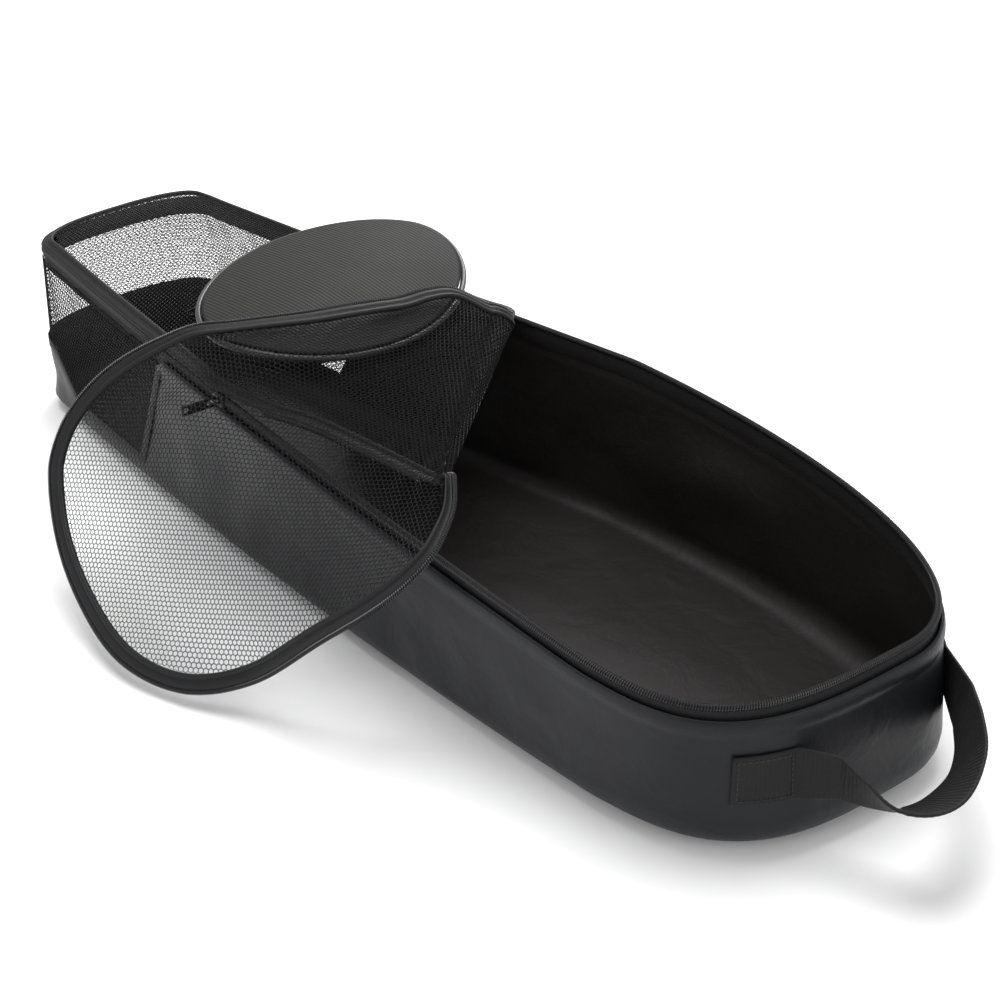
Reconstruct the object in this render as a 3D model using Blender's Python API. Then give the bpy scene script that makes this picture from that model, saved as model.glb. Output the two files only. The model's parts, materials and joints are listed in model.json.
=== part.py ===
"""A dive fin bag that lies open on its back: a long tub of coated cloth with a net top.

+X runs to the end with the handle, +Z is up, and the origin is on the underside of the tub's floor.
Left means -Y and right means +Y. The near half of the net top is unzipped and folded back over
the pocket and the left rim, down to the ground. Metres throughout.
"""

import math

import bmesh
import bpy
import numpy as np
from mathutils import Matrix
from mathutils.bvhtree import BVHTree

# Main sizes of the tub
LENGTH = 0.700
NEAR_WIDTH = 0.257
FAR_WIDTH = 0.146
NEAR_RIM = 0.0886
FAR_RIM = 0.1225
RIM_CROWN = 0.0085
CLOTH = 0.0020
NET = 0.0012
CLEAR = 0.0003

# Shares that shape the tub: how the rim bends and leans, how far the foot swells
RIM_BEND = -0.0716
RIM_SKEW = 0.1131
FOOT_SWELL = 0.55
FAR_END = dict(length=0.0515, roundness=2.64)
NEAR_END = dict(left=dict(length=0.131, roundness=3.42), right=dict(length=0.414, roundness=2.12))

# Zips: the tape that stands on the wall, the coil on its edge, and the band round the net top
WALL_DROP = 0.0060
TAPE_WIDTH = 0.0110
TAPE_THICK = 0.0010
COIL_RADIUS = 0.0022
BAND_WIDTH = 0.0095
BAND_THICK = 0.0016
BAND_INSET = 0.0010
BAND_TILT = math.radians(25)
PIPING_RADIUS = 0.0018
FLAP_COIL_RADIUS = 0.0015
BAND_CLOSED = dict(left=0.400, right=0.452)

# Net top
LID_CROWN = 0.0060
FLAP_MARGIN = 0.0040
FLAP_EASE = 0.08
SETTLE_REACH = 0.0165

# Mask pocket on the net top
POCKET_LENGTH = 0.212
POCKET_WIDTH = 0.143
POCKET_RISE = 0.0320
POCKET_TURN = math.radians(20.7)
POCKET_ALONG = 0.368
POCKET_ACROSS = -0.005
POCKET_BASE = 0.84
POCKET_CROWN = 0.0030
POCKET_SAG = 0.0130
POCKET_PIPING = 0.0020
POCKET_ZIP_WIDTH = 0.0050
POCKET_ZIP_THICK = 0.0014
POCKET_SLIDER_TURN = math.radians(243)
POCKET_ZIP_DOWN = 0.24
SEAM_GAP = 0.0008
EDGE_GAP = 0.0008

# Handle of webbing on the near end
WEB_WIDTH = 0.0290
WEB_THICK = 0.0018
HANDLE_REACH = 0.0560
PATCH_LENGTH = 0.0340

# Zip sliders and their pulls
SLIDER_LENGTH = 0.0100
SLIDER_HEIGHT = 0.0070
SLIDER_THICK = 0.0022
BRIDGE_SPAN = 0.0072
BRIDGE_STANDS = 0.0032
BRIDGE_BAR = 0.0010
BRIDGE_WIDTH = 0.0016
PULL_LENGTH = 0.0230
PULL_WIDTH = 0.0066
PULL_THICK = 0.0011
PULL_EYE = 0.0042
POCKET_SLIDER_SCALE = 0.75

# How many points go round or along
AROUND = 68
OVAL_AROUND = 40
LID_ACROSS = 12
LID_ALONG = 15
FLAP_ACROSS = 13
FLAP_ALONG = 20
ROLL_ROWS = 5
ROLL_STEP = 0.018
SIDE_STATIONS = 22

# Top edge of the coated cloth, as a share of the wall's height, from the far end (0) to the near end (1)
CLOTH_EDGE = (
    dict(along=0.00, height=0.47),
    dict(along=0.045, height=0.47),
    dict(along=0.10, height=0.20),
    dict(along=0.235, height=0.20),
    dict(along=0.30, height=1.00),
    dict(along=1.00, height=1.00),
)

# Along the tub: radius of the bottom edge, and the share of the width by which the base is narrower
FOOT = (
    dict(along=0.0, radius=0.014, draw=0.06),
    dict(along=0.3, radius=0.014, draw=0.13),
    dict(along=0.6, radius=0.014, draw=0.15),
    dict(along=1.0, radius=0.022, draw=0.15),
)

# Soft dents in the walls: where, how wide (shares of the length and height), how deep inwards
DENTS_END = 0.80
DENTS = (
    dict(side=-1, along=0.62, level=0.60, wide=0.10, tall=0.45, depth=0.0040),
    dict(side=-1, along=0.80, level=0.55, wide=0.07, tall=0.40, depth=-0.0030),
    dict(side=-1, along=0.40, level=0.50, wide=0.08, tall=0.50, depth=0.0030),
    dict(side=1, along=0.70, level=0.55, wide=0.11, tall=0.50, depth=0.0050),
    dict(side=1, along=0.42, level=0.50, wide=0.09, tall=0.50, depth=-0.0030),
    dict(side=1, along=0.90, level=0.60, wide=0.06, tall=0.40, depth=0.0030),
)

# Band from where the zip parts on the left rim towards the left hairpin, where it lies inside the rim.
# Along is a share of the length from the middle, across of the near width, height of the far rim.
LIFTED_BAND = (
    dict(along=-0.030, across=-0.428, height=1.024),
    dict(along=0.020, across=-0.410, height=1.040),
    dict(along=0.066, across=-0.402, height=1.040),
    dict(along=0.113, across=-0.400, height=1.046),
    dict(along=0.152, across=-0.406, height=1.060),
)

# Edge of the folded flap, from the right hairpin over the pocket and round the tip to the left hairpin
FLAP_EDGE = (
    dict(along=-0.034, across=0.345, height=0.985),
    dict(along=-0.030, across=0.332, height=1.030),
    dict(along=-0.036, across=0.300, height=1.071),
    dict(along=-0.054, across=0.226, height=1.121),
    dict(along=-0.064, across=0.125, height=1.196),
    dict(along=-0.066, across=-0.072, height=1.281),
    dict(along=-0.079, across=-0.233, height=1.306),
    dict(along=-0.122, across=-0.390, height=1.269),
    dict(along=-0.168, across=-0.496, height=1.154),
    dict(along=-0.206, across=-0.612, height=0.921),
    dict(along=-0.211, across=-0.722, height=0.632),
    dict(along=-0.173, across=-0.802, height=0.359),
    dict(along=-0.104, across=-0.872, height=0.172),
    dict(along=-0.024, across=-0.911, height=0.070),
    dict(along=0.045, across=-0.872, height=0.052),
    dict(along=0.101, across=-0.790, height=0.182),
    dict(along=0.163, across=-0.732, height=0.520),
    dict(along=0.213, across=-0.671, height=0.806),
    dict(along=0.230, across=-0.575, height=1.000),
    dict(along=0.214, across=-0.478, height=1.094),
    dict(along=0.190, across=-0.423, height=1.150),
    dict(along=0.180, across=-0.410, height=1.135),
    dict(along=0.168, across=-0.408, height=1.071),
)

# Corners of the flap's tip, as shares of the way along its edge
TIP_CORNERS = (0.43, 0.66)

# Handle, from where it leaves the wall on the left to where it meets it on the right.
# Forward is a share of the reach past the near end, lean tips the webbing's top edge outwards.
HANDLE = (
    dict(forward=0.18, across=-0.262, height=0.56, lean=8),
    dict(forward=0.50, across=-0.256, height=0.54, lean=30),
    dict(forward=0.80, across=-0.240, height=0.52, lean=55),
    dict(forward=0.94, across=-0.170, height=0.52, lean=58),
    dict(forward=0.86, across=-0.066, height=0.55, lean=38),
    dict(forward=0.64, across=0.020, height=0.56, lean=22),
    dict(forward=0.35, across=0.097, height=0.56, lean=12),
)
HANDLE_LEFT = -0.325
HANDLE_RIGHT = 0.195
HANDLE_HEIGHT = 0.56

FINISHES = dict(
    coated_cloth=dict(colour=(0.030, 0.031, 0.036), roughness=0.42, metallic=0.0),
    net=dict(colour=(0.012, 0.012, 0.013), roughness=0.65, metallic=0.0),
    band=dict(colour=(0.016, 0.016, 0.017), roughness=0.70, metallic=0.0),
    webbing=dict(colour=(0.022, 0.021, 0.022), roughness=0.75, metallic=0.0),
    zip_coil=dict(colour=(0.020, 0.020, 0.021), roughness=0.40, metallic=0.0),
    pocket_cloth=dict(colour=(0.055, 0.056, 0.058), roughness=0.70, metallic=0.0),
    slider=dict(colour=(0.060, 0.060, 0.062), roughness=0.35, metallic=0.9),
)

UP = np.array((0.0, 0.0, 1.0))


# Materials, objects and paths


def material(name):
    """A plain material of one finish, made once."""
    made = bpy.data.materials.get(name)
    if made is None:
        made = bpy.data.materials.new(name)
        made.use_nodes = True
        shader = made.node_tree.nodes["Principled BSDF"]
        finish = FINISHES[name]
        shader.inputs["Base Color"].default_value = (*finish["colour"], 1.0)
        shader.inputs["Roughness"].default_value = finish["roughness"]
        shader.inputs["Metallic"].default_value = finish["metallic"]
        made.diffuse_color = (*finish["colour"], 1.0)
    return made


def add_object(name, points, faces, finish, closed=False):
    """An object from points and faces, in its own finish, with its faces turned outwards if it is closed."""
    mesh = bpy.data.meshes.new(name)
    mesh.from_pydata([tuple(map(float, point)) for point in points], [], faces)
    if closed:
        shape = bmesh.new()
        shape.from_mesh(mesh)
        bmesh.ops.recalc_face_normals(shape, faces=shape.faces)
        shape.to_mesh(mesh)
        shape.free()
    mesh.materials.append(material(finish))
    mesh.shade_smooth()
    mesh.set_sharp_from_angle(angle=math.radians(60))
    made = bpy.data.objects.new(name, mesh)
    bpy.context.scene.collection.objects.link(made)
    return made


def grid_faces(rows, columns, wrap=False):
    """Triangles of a grid of points whose outer side is rows crossed with columns."""
    faces = []
    for row in range(rows - 1):
        for column in range(columns if wrap else columns - 1):
            after = (column + 1) % columns
            here = row * columns
            below = here + columns
            faces.append((here + column, below + column, below + after))
            faces.append((here + column, below + after, here + after))
    return faces


def add_sheet(name, grid, thickness, finish, wrap=False):
    """A cloth of even thickness on the inner side of a grid of points."""
    rows, columns = grid.shape[:2]
    piece = add_object(name, grid.reshape(-1, 3), grid_faces(rows, columns, wrap), finish)
    return thicken(piece, thickness)


def thicken(piece, thickness):
    solidify = piece.modifiers.new("cloth", "SOLIDIFY")
    solidify.thickness = thickness
    solidify.offset = -1
    return piece


def add_ribbon(name, centres, sideways, upwards, profile, finish, closed=False):
    """A solid with one profile all along a path. The profile's pairs run sideways and upwards."""
    profile = np.asarray(profile, float)
    sections = (
        centres[:, None]
        + sideways[:, None] * profile[None, :, :1]
        + upwards[:, None] * profile[None, :, 1:]
    )
    count, sides = len(centres), len(profile)
    if closed:
        sections = np.concatenate((sections, sections[:1]))
        faces = grid_faces(count + 1, sides, wrap=True)
        faces = [tuple(corner % (count * sides) for corner in face) for face in faces]
        sections = sections[:-1]
    else:
        faces = grid_faces(count, sides, wrap=True)
        faces.append(tuple(range(sides)))
        faces.append(tuple((count - 1) * sides + corner for corner in reversed(range(sides))))
    return add_object(name, sections.reshape(-1, 3), faces, finish, closed=True)


def round_profile(radius, sides):
    turn = np.arange(sides) * 2 * math.pi / sides
    return np.stack((radius * np.cos(turn), radius * np.sin(turn)), 1)


def flat_profile(width, thick):
    half, high = width / 2, thick / 2
    return ((half, -high), (half, high), (-half, high), (-half, -high))


def piped_profile():
    """The band's profile: a flat tape with a round piping along its inner edge."""
    middle = -BAND_WIDTH / 2 + PIPING_RADIUS
    meets = math.asin(BAND_THICK / 2 / PIPING_RADIUS)
    turns = np.linspace(meets, 2 * math.pi - meets, 8)
    bead = [(middle + PIPING_RADIUS * math.cos(turn), PIPING_RADIUS * math.sin(turn)) for turn in turns]
    return [(BAND_WIDTH / 2, -BAND_THICK / 2), (BAND_WIDTH / 2, BAND_THICK / 2), *bead]


def units(vectors):
    return vectors / np.maximum(np.linalg.norm(vectors, axis=-1, keepdims=True), 1e-12)


def tangents(points, closed=False):
    """Unit directions along a path."""
    if closed:
        return units(np.roll(points, -1, axis=0) - np.roll(points, 1, axis=0))
    return units(np.gradient(points, axis=0))


def path_distances(points):
    steps = np.linalg.norm(np.diff(points, axis=0), axis=1)
    return np.concatenate(((0,), np.cumsum(steps)))


def at_distances(points, distances):
    """Points at the given distances along a path."""
    along = path_distances(points)
    return np.stack([np.interp(distances, along, points[:, axis]) for axis in range(points.shape[1])], 1)


def evenly(points, count):
    return at_distances(points, np.linspace(0, path_distances(points)[-1], count))


def table_curve(table, columns, per_row=12):
    """A smooth curve through a table's rows, as points of the named columns."""
    rows = np.array([[row[column] for column in columns] for row in table], float)
    padded = np.vstack((2 * rows[0] - rows[1], rows, 2 * rows[-1] - rows[-2]))
    place = np.linspace(0, len(rows) - 1, (len(rows) - 1) * per_row + 1)
    start = np.minimum(place.astype(int), len(rows) - 2)
    t = (place - start)[:, None]
    before, here, there, after = (padded[start + step] for step in range(4))
    bend = 2 * before - 5 * here + 4 * there - after
    twist = 3 * (here - there) + after - before
    return here + 0.5 * t * (there - before + t * (bend + t * twist))


def by_share(table, value, share):
    """A value read from a table by its share along the tub."""
    return np.interp(share, [row["along"] for row in table], [row[value] for row in table])


# Outline of the rim and the walls under it


def half_outline(side):
    """One side of the rim from the far end's middle to the near end's, before it is bent and skewed."""
    end = NEAR_END[side]
    near_length = end["length"] * LENGTH
    far_length = FAR_END["length"] * LENGTH
    turn = np.linspace(0, math.pi / 2, 90)
    far_x = far_length * (1 - np.cos(turn) ** (2 / FAR_END["roundness"]))
    far_y = FAR_WIDTH / 2 * np.sin(turn) ** (2 / FAR_END["roundness"])
    near_x = LENGTH - near_length * (1 - np.sin(turn) ** (2 / end["roundness"]))
    near_y = NEAR_WIDTH / 2 * np.cos(turn) ** (2 / end["roundness"])
    x = np.concatenate((far_x, near_x))
    y = np.concatenate((far_y, near_y))
    return np.stack((x / LENGTH, y if side == "right" else -y), 1)


def rim_stations(count):
    """Evenly spaced stations round the rim, by the left: share along and distance across."""
    loop = np.concatenate((half_outline("left"), half_outline("right")[::-1][1:]))
    metres = loop * (LENGTH, 1)
    spaced = at_distances(metres, np.arange(count) * path_distances(metres)[-1] / count)
    return spaced[:, 0] / LENGTH, spaced[:, 1]


def side_stations(side, last_share, count):
    """Evenly spaced stations on one side, from the far end's middle to a share along."""
    metres = half_outline(side) * (LENGTH, 1)
    end = np.interp(last_share * LENGTH, metres[:, 0], path_distances(metres))
    spaced = at_distances(metres, np.linspace(0, end, count))
    return spaced[:, 0] / LENGTH, spaced[:, 1]


def rim_height(share):
    return FAR_RIM + (NEAR_RIM - FAR_RIM) * share + RIM_CROWN * 4 * share * (1 - share)


def placed(share, across, height=0.0):
    """Points in the bag's frame, from a share along, a distance across the middle and a height."""
    x = (share - 0.5) * LENGTH + RIM_SKEW * across * share**2
    y = across + RIM_BEND * NEAR_WIDTH * 4 * share * (1 - share)
    return np.stack((x, y, np.broadcast_to(height, x.shape)), -1)


def outwards(path, closed=False):
    """Level directions that point out of the bag from a path that goes round it by the left."""
    along = tangents(path, closed)
    return units(np.stack((along[:, 1], -along[:, 0], np.zeros(len(path))), 1))


def dent_depth(share, across, level):
    """How far the walls are pushed in at a place."""
    depth = np.zeros(share.shape)
    for dent in DENTS:
        away = ((share - dent["along"]) / dent["wide"]) ** 2 + ((level - dent["level"]) / dent["tall"]) ** 2
        depth += np.where(across * dent["side"] > 0, dent["depth"], 0) * np.exp(-2 * away)
    return depth * np.sin(math.pi * np.clip(level / DENTS_END, 0, 1))


def foot_ring(share, across, turn):
    """A ring on the round of the bottom edge, from the ground (turn 0) to the wall (a quarter turn)."""
    radius = by_share(FOOT, "radius", share)
    out = outwards(placed(share, across), closed=True)
    base = placed(share, across * (1 - by_share(FOOT, "draw", share)), radius * (1 - math.cos(turn)))
    return base + out * (radius * (FOOT_SWELL - 1 + math.sin(turn)))[:, None]


def wall_ring(share, across, height, inset=0.0):
    """A ring on the wall's outer face, or inside it by an inset, at heights above the bottom edge."""
    radius = by_share(FOOT, "radius", share)
    rim = placed(share, across)
    out = outwards(rim, closed=True)
    foot = placed(share, across * (1 - by_share(FOOT, "draw", share))) + out * (FOOT_SWELL * radius)[:, None]
    full = rim_height(share)
    lean = np.clip((height - radius) / (full - radius), 0, None)
    ring = foot + (rim - foot) * lean[:, None]
    ring -= out * (inset + dent_depth(share, across, height / full))[:, None]
    ring[:, 2] = height
    return ring


def cloth_top(share):
    """Height of the coated cloth's top edge."""
    return (rim_height(share) - WALL_DROP) * by_share(CLOTH_EDGE, "height", share)


def build_tub():
    """Floor and walls of coated cloth: low round the far part, up to the rim elsewhere."""
    share, across = rim_stations(AROUND)
    radius = by_share(FOOT, "radius", share)
    top = cloth_top(share)
    levels = (1.0, 0.84, 0.56, 0.28, 0.0)
    rings = [wall_ring(share, across, radius + (top - radius) * part) for part in levels]
    rings += [foot_ring(share, across, math.radians(turn)) for turn in (60, 30, 0)]
    edge = rings[-1]
    middle = edge.mean(axis=0)
    rings += [middle + (edge - middle) * size for size in (0.8, 0.4)]
    points = np.vstack((*rings, middle))
    faces = grid_faces(len(rings), AROUND, wrap=True)
    centre = len(points) - 1
    last = centre - AROUND
    faces += [(last + column, centre, last + (column + 1) % AROUND) for column in range(AROUND)]
    return thicken(add_object("base_tub", points, faces, "coated_cloth"), CLOTH)


def build_side_net():
    """Net between the coated cloth's low edge and the rim, round the far part of the bag."""
    share, across = rim_stations(AROUND)
    low = cloth_top(share) + CLEAR
    high = rim_height(share) - WALL_DROP
    order = np.roll(np.arange(AROUND), AROUND // 2)
    chosen = order[(high - low > WALL_DROP)[order]]
    levels = (1.0, 0.75, 0.5, 0.25, 0.0)
    rows = [wall_ring(share, across, low + (high - low) * part)[chosen] for part in levels]
    return add_sheet("side_net", np.array(rows), NET, "net")


def coil_inset():
    """How far inside the wall's outer face the zip tape and its coil stand."""
    return CLOTH + CLEAR + TAPE_THICK / 2


def build_rim_zip():
    """Zip tape on the inside of the wall's top edge, and the coil on the tape's edge."""
    share, across = rim_stations(AROUND)
    full = rim_height(share)
    coil = wall_ring(share, across, full, coil_inset())
    out = outwards(coil, closed=True)
    level_up = np.broadcast_to(UP, coil.shape)
    top = full - COIL_RADIUS - CLEAR
    tape = wall_ring(share, across, top - TAPE_WIDTH / 2, coil_inset())
    lean = units(wall_ring(share, across, top, coil_inset()) - tape)
    add_ribbon("rim_tape", tape, out, lean, flat_profile(TAPE_THICK, TAPE_WIDTH), "band", closed=True)
    add_ribbon("rim_coil", coil, out, level_up, round_profile(COIL_RADIUS, 6), "zip_coil", closed=True)
    return coil


# Band, net top and the folded flap


def in_shares(curve):
    """Points of a table's along, across and height columns, in metres."""
    return curve * (LENGTH, NEAR_WIDTH, FAR_RIM)


def flap_edge():
    return in_shares(table_curve(FLAP_EDGE, ("along", "across", "height")))


def band_path():
    """Middle of the band, from the right hairpin round the far end to the left hairpin."""
    parts = []
    for side in ("right", "left"):
        share, across = side_stations(side, BAND_CLOSED[side], SIDE_STATIONS)
        path = placed(share, across, rim_height(share))
        parts.append(path[::-1] if side == "right" else path[1:])
    rim = np.concatenate(parts)
    out = outwards(rim)
    inset = BAND_INSET + BAND_WIDTH / 2 * math.cos(BAND_TILT)
    rise = COIL_RADIUS + CLEAR + BAND_THICK / 2 + BAND_WIDTH / 2 * math.sin(BAND_TILT)
    closed = rim - out * inset + UP * rise
    edge = flap_edge()
    lifted = in_shares(table_curve(LIFTED_BAND, ("along", "across", "height"), per_row=3))
    path = np.concatenate((edge[:1], closed, lifted, edge[-1:]))
    tilt = np.full(len(path), BAND_TILT)
    tilt[:3] = BAND_TILT * np.array((0, 0.4, 0.8))
    tilt[-len(lifted) - 1 :] = BAND_TILT * np.linspace(0.7, 0, len(lifted) + 1)
    return path, tilt, len(closed) + 1


def band_frame(path, tilt):
    """Directions across the band and out of its face."""
    out = outwards(path)
    sideways = out * np.cos(tilt)[:, None] - UP * np.sin(tilt)[:, None]
    upwards = out * np.sin(tilt)[:, None] + UP * np.cos(tilt)[:, None]
    return sideways, upwards


def coons(first, last, left, right):
    """A grid spanned by four edges: rows run from first to last, columns from left to right."""
    v = np.linspace(0, 1, len(left))[:, None, None]
    u = np.linspace(0, 1, len(first))[None, :, None]
    across = (1 - v) * first[None] + v * last[None]
    along = (1 - u) * left[:, None] + u * right[:, None]
    corners = (1 - v) * ((1 - u) * first[0] + u * first[-1]) + v * ((1 - u) * last[0] + u * last[-1])
    return across + along - corners


def flap_rows(side):
    """Points down one side of the flap, close together where it rolls over."""
    total = path_distances(side)[-1]
    roll = ROLL_STEP * total * np.arange(ROLL_ROWS)
    rest = np.linspace(roll[-1], total, FLAP_ALONG - ROLL_ROWS + 1)[1:]
    return at_distances(side, np.concatenate((roll, rest)))


def flap_grid():
    """The flap's net before it settles: rows from the fold to the tip, columns from left to right."""
    edge = flap_edge()
    along = path_distances(edge)
    first_corner, last_corner = (share * along[-1] for share in TIP_CORNERS)
    right = at_distances(edge, np.linspace(0, first_corner, 80))
    tip = at_distances(edge, np.linspace(last_corner, first_corner, FLAP_ACROSS))
    left = at_distances(edge, np.linspace(along[-1], last_corner, 80))
    fold = np.linspace(edge[-1], edge[0], FLAP_ACROSS)
    return coons(fold, tip, flap_rows(left), flap_rows(right))


def settle(grid, under, keep_border=False):
    """Lifts the flap clear of the points under it and of the ground, and evens it out."""
    settled = grid.copy()
    free = settled[ROLL_ROWS:-1, 1:-1] if keep_border else settled[ROLL_ROWS:]
    flat = free.reshape(-1, 3)
    away = np.linalg.norm(flat[:, None, :2] - under[None, :, :2], axis=2)
    lowest = np.where(away < SETTLE_REACH, under[None, :, 2] + FLAP_MARGIN, 0).max(axis=1)
    lowest = lowest.reshape(free.shape[:2])
    for _ in range(6):
        free[:, :, 2] = np.maximum(free[:, :, 2], lowest)
        around = settled[:-2, 1:-1] + settled[2:, 1:-1] + settled[1:-1, :-2] + settled[1:-1, 2:]
        inner = settled[1:-1, 1:-1]
        inner[ROLL_ROWS - 1 :, :, 2] += 0.5 * (around / 4 - inner)[ROLL_ROWS - 1 :, :, 2]
    free[:, :, 2] = np.maximum(free[:, :, 2], lowest)
    return settled


def flap_border(grid):
    """The flap's edge in order from the right hairpin, with the band's directions across and out of its face."""
    rows, columns = grid.shape[:2]
    order = [(row, columns - 1, row, columns - 2) for row in range(rows - 1)]
    order.append((rows - 1, columns - 1, rows - 2, columns - 2))
    order += [(rows - 1, column, rows - 2, column) for column in range(columns - 2, 0, -1)]
    order.append((rows - 1, 0, rows - 2, 1))
    order += [(row, 0, row, 1) for row in range(rows - 2, -1, -1)]
    order = np.array(order)
    edge = grid[order[:, 0], order[:, 1]]
    inner = grid[order[:, 2], order[:, 3]]
    inner[-ROLL_ROWS - 2 :] = grid[rows // 2, columns // 3]
    along = tangents(edge)
    sideways = units(edge - inner)
    for _ in range(3):
        padded = np.concatenate((sideways[:1], sideways, sideways[-1:]))
        sideways = units(padded[:-2] + 2 * padded[1:-1] + padded[2:])
        sideways = units(sideways - along * (sideways * along).sum(axis=1, keepdims=True))
    return order, edge, sideways, np.cross(along, sideways)


def lid_grid(path, sideways, fold):
    """Net top of the far part, inside the band, up to the fold."""
    inside = path - sideways * (BAND_WIDTH / 2 + EDGE_GAP)
    middle = SIDE_STATIONS
    corner = int(np.ceil(0.75 * FAR_WIDTH / 2 / (path_distances(path)[-1] / len(path))))
    right = np.concatenate((inside[1 : middle - corner + 1][::-1], fold[-1:]))
    left = np.concatenate((inside[middle + corner : -1], fold[:1]))
    far = inside[middle - corner : middle + corner + 1][::-1]
    ends = (evenly(far, LID_ACROSS), evenly(fold, LID_ACROSS))
    sides = (evenly(left, LID_ALONG), evenly(right, LID_ALONG))
    grid = coons(*ends, *sides)
    u = np.linspace(0, 1, LID_ACROSS)[None, :]
    v = np.linspace(0, 1, LID_ALONG)[:, None]
    grid[:, :, 2] += LID_CROWN * 4 * u * (1 - u) * np.sqrt(np.clip(4 * v * (1 - v), 0, 1))
    return grid


def height_on(grid, points):
    """Height of a grid's surface under each point."""
    faces = grid_faces(*grid.shape[:2])
    tree = BVHTree.FromPolygons([tuple(map(float, point)) for point in grid.reshape(-1, 3)], faces)
    heights = []
    for x, y in points[:, :2]:
        hit = tree.ray_cast((float(x), float(y), 1.0), (0.0, 0.0, -1.0))[0]
        near = hit if hit is not None else tree.find_nearest((float(x), float(y), FAR_RIM))[0]
        heights.append(near.z)
    return np.array(heights)


# Mask pocket


def oval(size, height, inset=0.0):
    """Ring of the pocket's outline, at a share of its size."""
    long_axis = np.array((-math.sin(POCKET_TURN), math.cos(POCKET_TURN), 0.0))
    short_axis = np.array((math.cos(POCKET_TURN), math.sin(POCKET_TURN), 0.0))
    centre = np.array(((POCKET_ALONG - 0.5) * LENGTH, POCKET_ACROSS * NEAR_WIDTH, 0.0))
    half_long = POCKET_LENGTH / 2 * size - inset
    half_short = POCKET_WIDTH / 2 * size - inset
    turns = oval_turns()[:, None]
    ring = centre + long_axis * half_long * np.cos(turns) + short_axis * half_short * np.sin(turns)
    ring[:, 2] = height
    return ring


def oval_out(ring):
    """Level directions out of the pocket's ring, which runs clockwise seen from above."""
    along = tangents(ring, closed=True)
    return units(np.stack((-along[:, 1], along[:, 0], np.zeros(len(ring))), 1))


def oval_turns():
    return np.arange(OVAL_AROUND) * 2 * math.pi / OVAL_AROUND


def panel_ring(size):
    """Ring on the pocket panel's upper face. The panel is crowned, and sags under the flap."""
    near_side = np.clip(size * np.sin(oval_turns()), 0, 1)
    top = float(rim_height(np.array(POCKET_ALONG))) + POCKET_RISE
    return oval(size, top + POCKET_CROWN * (1 - size**2) - POCKET_SAG * near_side**1.5)


def build_pocket(lid):
    """Oval pocket: a flaring gusset on the net top, a panel with a piped edge, and a zip round the gusset."""
    sizes = (1.0, 0.8, 0.5, 0.2)
    rings = np.array([panel_ring(size) for size in sizes])
    points = np.vstack((rings.reshape(-1, 3), panel_ring(0.0)[0]))
    faces = [face[::-1] for face in grid_faces(len(sizes), OVAL_AROUND, wrap=True)]
    last = (len(sizes) - 1) * OVAL_AROUND
    for column in range(OVAL_AROUND):
        faces.append((last + (column + 1) % OVAL_AROUND, len(points) - 1, last + column))
    thicken(add_object("pocket_panel", points, faces, "pocket_cloth"), CLOTH)

    base = oval(POCKET_BASE, 0.0)
    base[:, 2] = height_on(lid, base) + SEAM_GAP
    brim = oval(1.0, rings[0, :, 2] - CLOTH - CLEAR, inset=CLOTH)
    gusset = np.array([brim + (base - brim) * part for part in (0.0, 0.5, 1.0)])
    add_sheet("pocket_gusset", gusset[::-1], CLOTH, "pocket_cloth", wrap=True)

    edge = oval(1.0, rings[0, :, 2] - CLOTH / 2, inset=-POCKET_PIPING - CLEAR)
    level_up = np.broadcast_to(UP, edge.shape)
    profile = round_profile(POCKET_PIPING, 6)
    add_ribbon("pocket_piping", edge, oval_out(edge), level_up, profile, "pocket_cloth", closed=True)

    zip_line, rise, out = pocket_zip_line(brim, base)
    profile = flat_profile(POCKET_ZIP_THICK, POCKET_ZIP_WIDTH)
    add_ribbon("pocket_zip", zip_line, out, rise, profile, "zip_coil", closed=True)
    build_pocket_slider(zip_line, rise, out)
    covered = [panel_ring(size) for size in np.linspace(0.1, 1.0, 10)]
    return np.concatenate((*covered, edge + UP * POCKET_PIPING))


def pocket_zip_line(brim, base):
    """Middle of the zip on the gusset's outer face, with the directions up the gusset and out of it."""
    rise = units(brim - base)
    out = oval_out(brim)
    out = units(out - rise * (out * rise).sum(axis=1, keepdims=True))
    line = brim + (base - brim) * POCKET_ZIP_DOWN + out * (2 * CLEAR + POCKET_ZIP_THICK / 2)
    return line, rise, out


# Sliders, pulls and the handle


def add_boxes(name, boxes, finish):
    """One solid from boxes that share faces or overlap. Each box has its low and high corner."""
    boxes = np.array(boxes, float)
    breaks = [np.unique(np.round(boxes[:, :, axis], 6)) for axis in range(3)]
    middles = np.stack(np.meshgrid(*[(cut[:-1] + cut[1:]) / 2 for cut in breaks], indexing="ij"), -1)
    filled = np.zeros(middles.shape[:3], bool)
    for low, high in boxes:
        filled |= ((middles > low) & (middles < high)).all(axis=-1)
    padded = np.pad(filled, 1)
    points, faces = {}, []
    for cell in np.argwhere(filled):
        for axis in range(3):
            for step in (0, 1):
                beside = cell + 1
                beside[axis] += 2 * step - 1
                if padded[tuple(beside)]:
                    continue
                corners = []
                for first, second in ((0, 0), (1, 0), (1, 1), (0, 1)):
                    corner = cell.copy()
                    corner[axis] += step
                    corner[(axis + 1) % 3] += first
                    corner[(axis + 2) % 3] += second
                    place = tuple(breaks[number][corner[number]] for number in range(3))
                    corners.append(points.setdefault(place, len(points)))
                faces.append(corners if step else corners[::-1])
    return add_object(name, list(points), faces, finish)


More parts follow.
